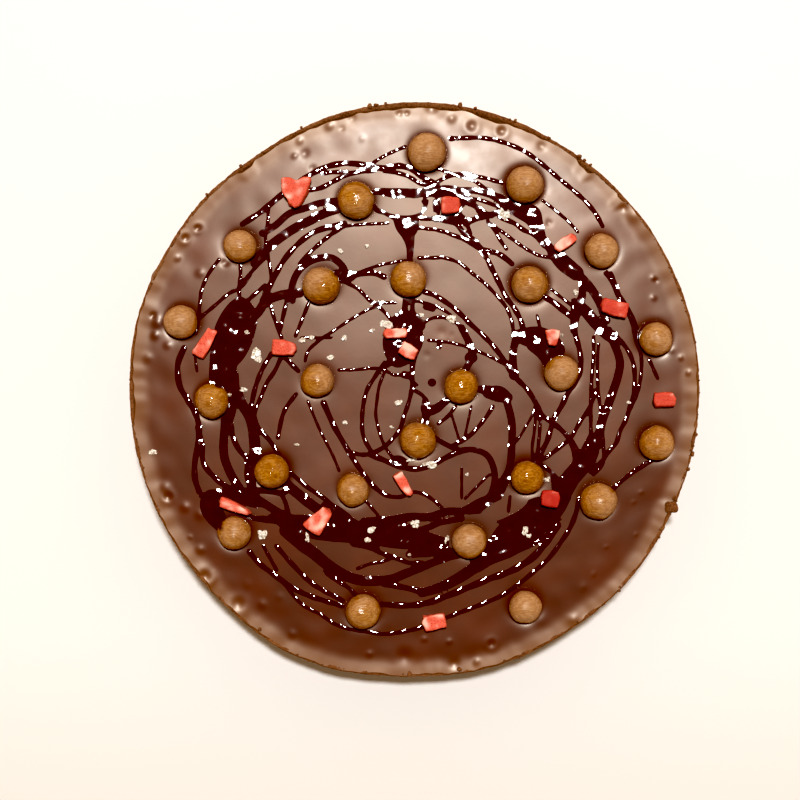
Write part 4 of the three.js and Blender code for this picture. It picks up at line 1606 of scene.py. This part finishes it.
        across = np.cos(turn)
        x = path[i, 0] - ahead[i, 1] * across * half[i]
        y = path[i, 1] + ahead[i, 0] * across * half[i]
        top = self.film + crown[i] * (1 - across**2)
        lift = np.where(np.sin(turn) > -TINY, top, -self.sunk * np.abs(np.sin(turn)))
        ground = self.ganache.ground(x, y)
        level = np.where(lift > 0, self.bed(x, y, ground), ground)
        where = np.column_stack([x, y, level + lift])
        for vert, spot in zip(made, where.tolist()):
            vert.co = spot


# ---- Hazelnuts ----


@dataclass(frozen=True)
class Glazing:
    """How a nut was glazed: how much of it, and the bearing in degrees of the side that has more."""

    cover: float
    side: float = 270.0
    lean: float = 0.0  # how much more that side has


GLAZING = tuple(Glazing(*row) for row in (
    (0.05,), (0.2, 250, 0.4), (0.65, 150, 0.3), (0.2, 290, 0.4), (0.05,), (0.4, 300, 0.9), (0.5, 225, 0.7),
    (0.45, 20, 0.3), (0.05,), (0.2, 200, 0.4), (0,), (0.45, 200, 0.8), (0.9,), (0.6, 30, 0.2),
    (0.5, 180, 0.3), (0.65, 270, 0.2), (0.85,), (1,), (0.4, 180, 0.4), (0.3, 180, 0.8), (0.35, 270, 0.3),
    (0.1, 0, 0.3), (0.5, 250, 0.3), (0,),
))


@dataclass
class Hazelnut:
    """One roasted hazelnut, where its CAD node stands."""

    number: int
    node: Object
    grid: CaramelField
    oval: float = 0.9  # size of its slowest bulges, in its radii
    ovalness: float = 0.05
    lump: float = 3.2
    lump_relief: float = 0.2
    grain: float = 0.9
    relief: float = 0.09
    lengthening: Sized = (0.4, 1.0, 1.0)  # draws the grain out from side to side
    tip: float = 0.07
    tip_spread: float = 0.5  # in radians from the tip
    sags: Point = (0.4, 1.5)  # the least and the most that the ganache dips round it
    cover_gain: float = 1.3  # turns its cover into a thickness of glaze
    cover_loss: float = 0.15
    patch: float = 0.45  # size of the bare patches in the glaze, in its radii
    drawn_patch: Sized = (0.5, 1.0, 1.0)  # draws them out likewise
    patchiness: float = 0.45
    foot_glaze_and_shade: float = 0.45  # how much more glaze its foot has; this also paints shade and warm bounce light on its lower sides
    foot: Point = (0.75, 0.15)  # heights, in its radii, where that begins and is full
    raggedness: float = 0.3  # of the caramel's edge on it
    thread_reach: float = 0.5  # how far beside a thread the nut is glazed
    thread_edge: float = 0.2  # how far inside a thread it is fully glazed
    thread_heights: Point = (0.95, 0.5)
    sauced: float = 0.9  # how far inside a run the nut is covered by it
    sauce_edge: float = 0.5
    sauce_heights: Point = (0.98, 0.9)

    def place(self) -> NutPlace:
        """Where the nut stands."""
        corners = corners_of(self.node)
        middle = (corners.min(0) + corners.max(0)) / 2
        radius = float(np.median(np.linalg.norm(corners - middle, axis=1)))
        return NutPlace(*middle, radius, sag=random.Random(self.number + 60).uniform(*self.sags))

    def build(self, material: Material) -> Object:
        """Makes the piece."""
        spot = self.place()
        middle = Vector((spot.x, spot.y, spot.z))
        corners = corners_of(self.node) - np.array(middle)
        tip = Vector(corners[np.argmax(np.linalg.norm(corners, axis=1))]).normalized()
        mesh = bmesh.new()
        bmesh.ops.create_icosphere(mesh, subdivisions=5, radius=spot.radius)
        places = places_of(mesh)
        slow = bumpiness(places, self.oval * spot.radius, self.number)
        lumps = bumpiness(places, self.lump, self.number + 20)
        fine = bumpiness(places * self.lengthening, self.grain, self.number + 40, octaves=2)
        relief = self.lump_relief * lumps + self.relief * fine
        for vert, swell, grain in zip(mesh.verts, slow.tolist(), relief.tolist()):
            point = self.tip * math.exp(-((vert.co.angle(tip) / self.tip_spread) ** 2))
            vert.co *= 1 + point + self.ovalness * swell
            vert.co += vert.co.normalized() * grain
        bmesh.ops.translate(mesh, vec=middle, verts=mesh.verts)
        self.wet(mesh, spot)
        return make_piece(f"roasted_{self.node.name}", mesh, material, (self.node.name,))

    def wet(self, mesh: BMesh, spot: NutPlace) -> None:
        """Says where glaze covers the nut, with more low down that also stands for painted shade and warm
        bounce light, and where a run of dark caramel has gone over it.

        Args:
            mesh: The nut.
            spot: Where it stands.
        """
        x, y, _ = places_of(mesh).T
        out = (places_of(mesh) - (spot.x, spot.y, spot.z)) / spot.radius
        up = out[:, 2]
        glazing = GLAZING[self.number - 1]
        side = math.radians(glazing.side)
        towards = out[:, 0] * math.cos(side) + out[:, 1] * math.sin(side)
        patches = bumpiness(out * self.drawn_patch + self.number, self.patch, self.number + 80, octaves=2)
        glaze = self.cover_gain * glazing.cover - self.cover_loss
        glaze += glazing.lean * towards + self.patchiness * patches
        # painted shade and bounce light: the lower sides get more of the darker, warmer glaze, besides the
        # real glaze at the foot
        glaze += self.foot_glaze_and_shade * smoothstep(*self.foot, up)
        inside = self.grid.at(self.grid.edge, x, y) + self.raggedness * patches
        beside = smoothstep(-self.thread_reach, self.thread_edge, inside)
        glaze = np.maximum(glaze, beside * smoothstep(*self.thread_heights, up))
        sauce = smoothstep(self.sauced, self.sauced + self.sauce_edge, inside)
        record(mesh, GLAZE, glaze)
        record(mesh, CARAMEL, sauce * smoothstep(*self.sauce_heights, up))


# ---- Strawberry ----


@dataclass
class StrawberryDie:
    """One die of dried strawberry, where its CAD node lies."""

    number: int
    node: Object
    paleness: float
    ripeness: float
    widening: float = 1.0  # how much wider it swelled than it was cut
    cleft: float = 0.0  # how deep a cleft parts its back into two lobes
    cleft_width: float = 0.16  # of the cleft, as a share of the die's width
    back: Point = (0.0, 0.5)  # how far back it begins and is full, over the die's depth
    front: Point = (-0.5, 0.2)  # the same for the widening
    cuts: int = 5
    rounding: float = 0.5
    rounds: int = 2
    relief: float = 0.3
    lump: float = 2.6
    pore: float = 1.4
    pore_share: float = 0.7  # how deep the pores are beside the lumps
    patch: float = 3.2  # size of its pale and of its deep red patches
    patchiness: float = 0.8
    redness: float = 0.5  # how much less red it is in a patch
    flesh_and_light_facing: Point = (0.75, 0.3)  # how much the flesh and painted light show on top and at the back, which faces the lamp
    flesh_and_light_from: float = 1.15  # where it begins to show, and over how much
    flesh_and_light_edge: float = 0.5

    def build(self, material: Material) -> Object:
        """Makes the piece: the CAD block with soft edges and a torn, porous skin."""
        mesh = bmesh.new()
        mesh.from_mesh(self.node.data)
        mesh.transform(Matrix.Scale(1 / MM, 4))
        bmesh.ops.remove_doubles(mesh, verts=mesh.verts, dist=0.01)
        bmesh.ops.recalc_face_normals(mesh, faces=mesh.faces)
        flat = math.radians(4)
        bmesh.ops.dissolve_limit(mesh, angle_limit=flat, verts=mesh.verts, edges=mesh.edges)
        bmesh.ops.triangulate(mesh, faces=mesh.faces)
        bmesh.ops.subdivide_edges(mesh, edges=mesh.edges, cuts=self.cuts, use_grid_fill=True)
        axes = dict.fromkeys(("use_axis_x", "use_axis_y", "use_axis_z"), True)
        for _ in range(self.rounds):
            bmesh.ops.smooth_vert(mesh, verts=mesh.verts, factor=self.rounding, **axes)
        self.swell(mesh)
        places = places_of(mesh)
        lumps = bumpiness(places, self.lump, self.number + 3)
        pores = bumpiness(places, self.pore, self.number + 30, octaves=3)
        for vert, lump, pore in zip(mesh.verts, lumps.tolist(), pores.tolist()):
            vert.co += vert.normal * self.relief * (lump + self.pore_share * pore)
        self.show_flesh_and_light(mesh)
        return make_piece(f"dried_{self.node.name}", mesh, material, (self.node.name,))

    def swell(self, mesh: BMesh) -> None:
        """Widens the die towards its back and parts its back with a cleft."""
        places = places_of(mesh)
        middle, size = (places.max(0) + places.min(0)) / 2, np.ptp(places, axis=0)
        away = places - middle
        across = away[:, 0] / (self.cleft_width * size[0])
        away[:, 1] -= self.cleft * np.exp(-(across**2)) * smoothstep(*self.back, away[:, 1] / size[1])
        away[:, 0] *= 1 + (self.widening - 1) * smoothstep(*self.front, away[:, 1] / size[1])
        place(mesh, middle + away)
        mesh.normal_update()

    def show_flesh_and_light(self, mesh: BMesh) -> None:
        """Says where the pale flesh shows in patches, where painted light makes the top and lamp-facing back
        paler, and where the fruit is a deep red.
        """
        mesh.normal_update()
        patches = bumpiness(places_of(mesh), self.patch, self.number + 60)
        _, back, up = np.array([vert.normal for vert in mesh.verts], float).T
        # painted light: faces turned up and back towards the lamp are paler, besides the real flesh in
        # patches
        shown = self.flesh_and_light_facing[0] * up + self.flesh_and_light_facing[1] * back + self.patchiness * patches
        record(mesh, FLESH_AND_LIGHT, (shown - self.flesh_and_light_from + self.paleness) / self.flesh_and_light_edge)
        record(mesh, RIPE, self.ripeness * (1 - self.redness * patches))


# ---- Salt ----


@dataclass(frozen=True)
class Flake:
    """One flake of salt: where it lies, how long and how wide."""

    x: float
    y: float
    length: float
    width: float


FLAKES = tuple(Flake(*row) for row in (
    (36, 71, 6.4, 6.4), (-11, 27, 6.4, 5.4), (15, 28, 4, 4), (-64, 14, 4.8, 6), (-67, 23, 3.4, 2.4),
    (-68, 0, 5, 1.8), (-74, -2, 2.6, 2.2), (-45, 20, 4, 2.4), (-41, 21, 3, 2.2), (-28, 21, 2.8, 2.6),
    (-34, 13, 3.6, 2.2), (-6, -5, 4.2, 2.8), (-28, -13, 2.6, 1.8), (-30, 56, 2.8, 2.4), (-19, 58, 2.4, 2),
    (-17, 24, 2, 1.8), (-9, -15, 2, 1.4), (3, 30, 2.6, 1.8), (6, -30, 6, 3.6), (-1, -28, 5, 1.6),
    (0, -54, 3.4, 3.6), (-17, -56, 4.8, 3.2), (-19, -60, 3.6, 2.8), (-43, -59, 2.2, 4.6),
    (-61, -58, 4.2, 4.6), (45, -57, 4, 4.4), (53, -36, 3.6, 2.2), (21, -34, 2, 1.4), (13, -60, 2, 4),
    (65, 39, 2.6, 2.6), (59, 22, 2, 1.6), (86, -5, 2.6, 1.6), (-105, -25, 4.4, 2.6), (-47, -22, 2.4, 1.4),
    (-2, -66, 1.8, 1.4),
))


@dataclass
class SaltFlakes:
    """Flakes of sea salt, each a few thin plates that have grown together, joined as one piece."""

    ganache: Ganache
    grid: CaramelField
    plates: int = 5
    thickness: float = 0.22
    raised: float = 0.6  # how far up the first plate is, in thicknesses
    share: float = 0.8  # size of the first plate, as a share of the flake
    shares: Point = (0.35, 0.65)  # the least and the most for the others
    spread: float = 0.28  # how far out the others lie, as a share of the flake
    lean: float = 0.45  # in radians
    twist: float = 0.5  # in radians
    sides: tuple[int, ...] = (5, 6, 7)
    taper: float = 0.75  # size of a plate's top over that of its underside
    depth: float = 1.2
    raggedness: float = 0.12
    seed: int = 9

    def build(self, finish: SeaSalt) -> Object:
        """Makes the piece."""
        draw = random.Random(self.seed)
        mesh = bmesh.new()
        for flake in FLAKES:
            x, y = np.array([flake.x], float), np.array([flake.y], float)
            ground = float(self.ganache.ground(x, y)[0] + self.grid.at(self.grid.crown, x, y)[0])
            for plate in range(self.plates):
                self.add_plate(mesh, flake, ground, plate, draw)
        bmesh.ops.recalc_face_normals(mesh, faces=mesh.faces)
        return make_piece("salt_flakes", mesh, finish.material(), smooth=False)

    def add_plate(self, mesh: BMesh, flake: Flake, ground: float, plate: int, draw: random.Random) -> None:
        """Adds one plate of a flake.

        Args:
            mesh: The mesh that it joins.
            flake: The flake that it belongs to.
            ground: The height of what the flake lies on.
            plate: Which plate of the flake it is. The first is the widest.
            draw: Where its random shape comes from.
        """
        share = self.share if plate == 0 else draw.uniform(*self.shares)
        spread = self.spread * (plate > 0)
        x = flake.x + flake.length * spread * draw.uniform(-1, 1)
        y = flake.y + flake.width * spread * draw.uniform(-1, 1)
        z = ground + self.thickness * (self.raised + plate)
        lean, tilt, twist = (limit * draw.uniform(-1, 1) for limit in (self.lean, self.lean, self.twist))
        turn = Euler((lean, tilt, twist)).to_matrix().to_4x4()
        size = Matrix.Diagonal((share * flake.length / 2, share * flake.width / 2, self.thickness, 1))
        made = bmesh.ops.create_cone(
            mesh, cap_ends=True, segments=draw.choice(self.sides), radius1=1, radius2=self.taper,
            depth=self.depth, matrix=Matrix.Translation((x, y, z)) @ turn @ size,
        )["verts"]
        for vert in made:
            vert.co.x += self.raggedness * flake.length * share * draw.uniform(-1, 1)
            vert.co.y += self.raggedness * flake.width * share * draw.uniform(-1, 1)


# ---- Studio ----


@dataclass
class Studio:
    """A pale table, one broad lamp above and behind it, a pale room and the camera straight above."""

    lamp_place: Sized = (59.0, 459.0, 2200.0)
    lamp_size: Point = (260.0, 150.0)
    lamp_power: float = 47.0  # in watts
    lamp_colour: str = "#f7fcff"
    room_colour: str = "#ffe4bc"
    room_light: float = 1.3  # at the foot of its walls, with none straight above
    room_sides: Point = (-0.7, 0.7)  # where its front and its back are
    room_shares: Point = (0.8, 1.2)  # shares of the light that they have
    table_size: float = 9000.0
    lens: float = 85.0
    camera_place: Sized = (-5.77, -4.04, 784.0)
    camera_reach: float = 50.0  # in metres
    contrast: float = 0.8  # exponent of the display, below 1 for more contrast
    black: float = 0.03  # light that prints as black

    def build(self, finish: WhiteTable) -> None:
        """Sets up the table, the lamp, the room and the camera."""
        self.add_table(finish)
        self.add_lamp()
        self.light_room()
        self.add_camera()
        self.expose()

    def expose(self) -> None:
        """Sets how the picture is developed: as it is, with a camera's contrast."""
        view = bpy.context.scene.view_settings
        view.view_transform = "Standard"
        view.gamma = self.contrast
        view.use_curve_mapping = True
        view.curve_mapping.black_level = (self.black,) * 3
        view.curve_mapping.update()

    def add_table(self, finish: WhiteTable) -> None:
        """Adds the table top, which isn't part of the tart."""
        mesh = bmesh.new()
        bmesh.ops.create_grid(mesh, x_segments=8, y_segments=8, size=self.table_size / 2 * MM)
        data = bpy.data.meshes.new("table_top")
        mesh.to_mesh(data)
        mesh.free()
        data.materials.append(finish.material())
        table = add_object("table_top", data)

    def add_lamp(self) -> None:
        """Adds the lamp, a broad bright panel that faces the tart."""
        data = bpy.data.lights.new("lamp", "AREA")
        data.shape = "RECTANGLE"
        data.size, data.size_y = (size * MM for size in self.lamp_size)
        data.energy = self.lamp_power
        data.color = linear(self.lamp_colour)[:3]
        lamp = add_object("lamp", data)
        lamp.location = Vector(self.lamp_place) * MM
        lamp.rotation_euler = (-lamp.location).to_track_quat("-Z", "Y").to_euler()

    def light_room(self) -> None:
        """Makes the room: dark straight above and bright towards its walls, most at the back."""
        world = bpy.data.worlds.new("room")
        world.use_nodes = True
        tree = world.node_tree
        tree.nodes.clear()
        where = add_node(tree, "TexCoord")
        split = add_node(tree, "SeparateXYZ", links={"Vector": where.outputs["Generated"]})
        low, behind = (
            add_node(
                tree, "MapRange",
                dict(zip(("From Min", "From Max", "To Min", "To Max"), (*limits, *shares))),
                {"Value": split.outputs[axis]},
            )
            for axis, limits, shares in (
                ("Z", (0.0, 1.0), (self.room_light, 0.0)), ("Y", self.room_sides, self.room_shares),
            )
        )
        strength = add_node(
            tree, "Math", links={0: low.outputs["Result"], 1: behind.outputs["Result"]},
            operation="MULTIPLY",
        )
        background = add_node(
            tree, "Background", {"Color": linear(self.room_colour)},
            {"Strength": strength.outputs["Value"]},
        )
        add_node(tree, "OutputWorld", links={"Surface": background.outputs["Background"]})
        bpy.context.scene.world = world

    def add_camera(self) -> None:
        """Adds the camera, which looks straight down with +Y up in its picture."""
        data = bpy.data.cameras.new("camera")
        data.lens = self.lens
        data.clip_end = self.camera_reach
        camera = add_object("camera", data)
        camera.location = Vector(self.camera_place) * MM
        bpy.context.scene.camera = camera


# ---- The tart ----

PALENESS = (0.36, 0.2, 0.6, 0.1, 0.4, 0.2, 0.75, 0.86, 0.65, 0.1, 0.52, 0.0, 0.47, 0.5, 0.53)  # of each die
RIPENESS = (0.1, 0.3, 0.0, 0.5, 0.0, 0.15, 0.0, 0.0, 0.2, 0.38, 0.0, 0.95, 0.0, 0.0, 0.0)
HEART, HEART_SHAPE = 1, {"widening": 1.28, "cleft": 1.7}  # the die that swelled into a heart
EDGE_FROM = 0.95  # share of its height above which the ganache's outline is read
FOOT_BAND, RIM_BAND = (0.03, 0.05), (0.9, 0.97)  # shares of its height where the crust's outlines are
TOP_FROM, MIDDLE = 0.85, 60.0  # share of its height above which, and how far out, the ganache is level
CRUMB_LAYER = 0.25  # height that the crust's relief adds


def level_of(node: Object) -> float:
    """The height of the ganache in the middle of the tart, read from its CAD node."""
    corners = corners_of(node)
    top = corners[:, 2] > TOP_FROM * corners[:, 2].max()
    return float(np.median(corners[top & (np.hypot(corners[:, 0], corners[:, 1]) < MIDDLE), 2]))


def main() -> None:
    """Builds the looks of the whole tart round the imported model."""
    logging.basicConfig(level=logging.INFO, format="%(name)s: %(message)s")
    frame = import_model()
    nodes = frame["nodes"]
    names = sorted(nodes)

    grid = CaramelField()
    LOG.info("caramel laid on a grid of %d cells a side", grid.cells)
    nuts = [
        Hazelnut(number, nodes[name], grid)
        for number, name in enumerate((n for n in names if n.startswith(Slot.HAZELNUT.value)), 1)
    ]
    low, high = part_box("ganache")
    ganache_top = high.z / MM
    surface = GanacheSurface(
        edge=Outline.of_node(nodes["ganache"], EDGE_FROM * ganache_top, ganache_top),
        level=level_of(nodes["ganache"]), nuts=[nut.place() for nut in nuts],
    )
    ganache = Ganache(surface, floor=low.z / MM)
    ganache.build(SetGanache("set ganache", roughness=0.333, ior=1.475))

    crust_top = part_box("crust")[1].z / MM
    foot, rim = (
        Outline.of_node(nodes["crust"], low * crust_top, high * crust_top)
        for low, high in (FOOT_BAND, RIM_BAND)
    )
    crumb = BakedCrumb("baked chocolate crumb", roughness=0.85, ior=1.45)
    Crust(foot, rim, crust_top - CRUMB_LAYER).build(crumb)
    RimCrumbs(surface, rim, crust_top - CRUMB_LAYER).build(crumb)

    Caramel(grid, surface, ganache).build(DarkCaramel("dark caramel", roughness=0.06, ior=1.6))

    nut_material = RoastedNut("roasted hazelnut", roughness=0.45, ior=1.47).material()
    for nut in nuts:
        nut.build(nut_material)

    fruit_material = DriedStrawberry("freeze-dried strawberry", roughness=0.7, ior=1.4).material()
    fruit_names = (n for n in names if n.startswith(Slot.STRAWBERRY.value))
    for number, (name, *shares) in enumerate(zip(fruit_names, PALENESS, RIPENESS), 1):
        shape = HEART_SHAPE if number == HEART else {}
        StrawberryDie(number, nodes[name], *shares, **shape).build(fruit_material)

    SaltFlakes(ganache, grid).build(SeaSalt("flaked sea salt", roughness=0.3, ior=1.54))
    Studio().build(WhiteTable("white table top", roughness=0.6, ior=1.45))


if __name__ == "__main__":
    main()
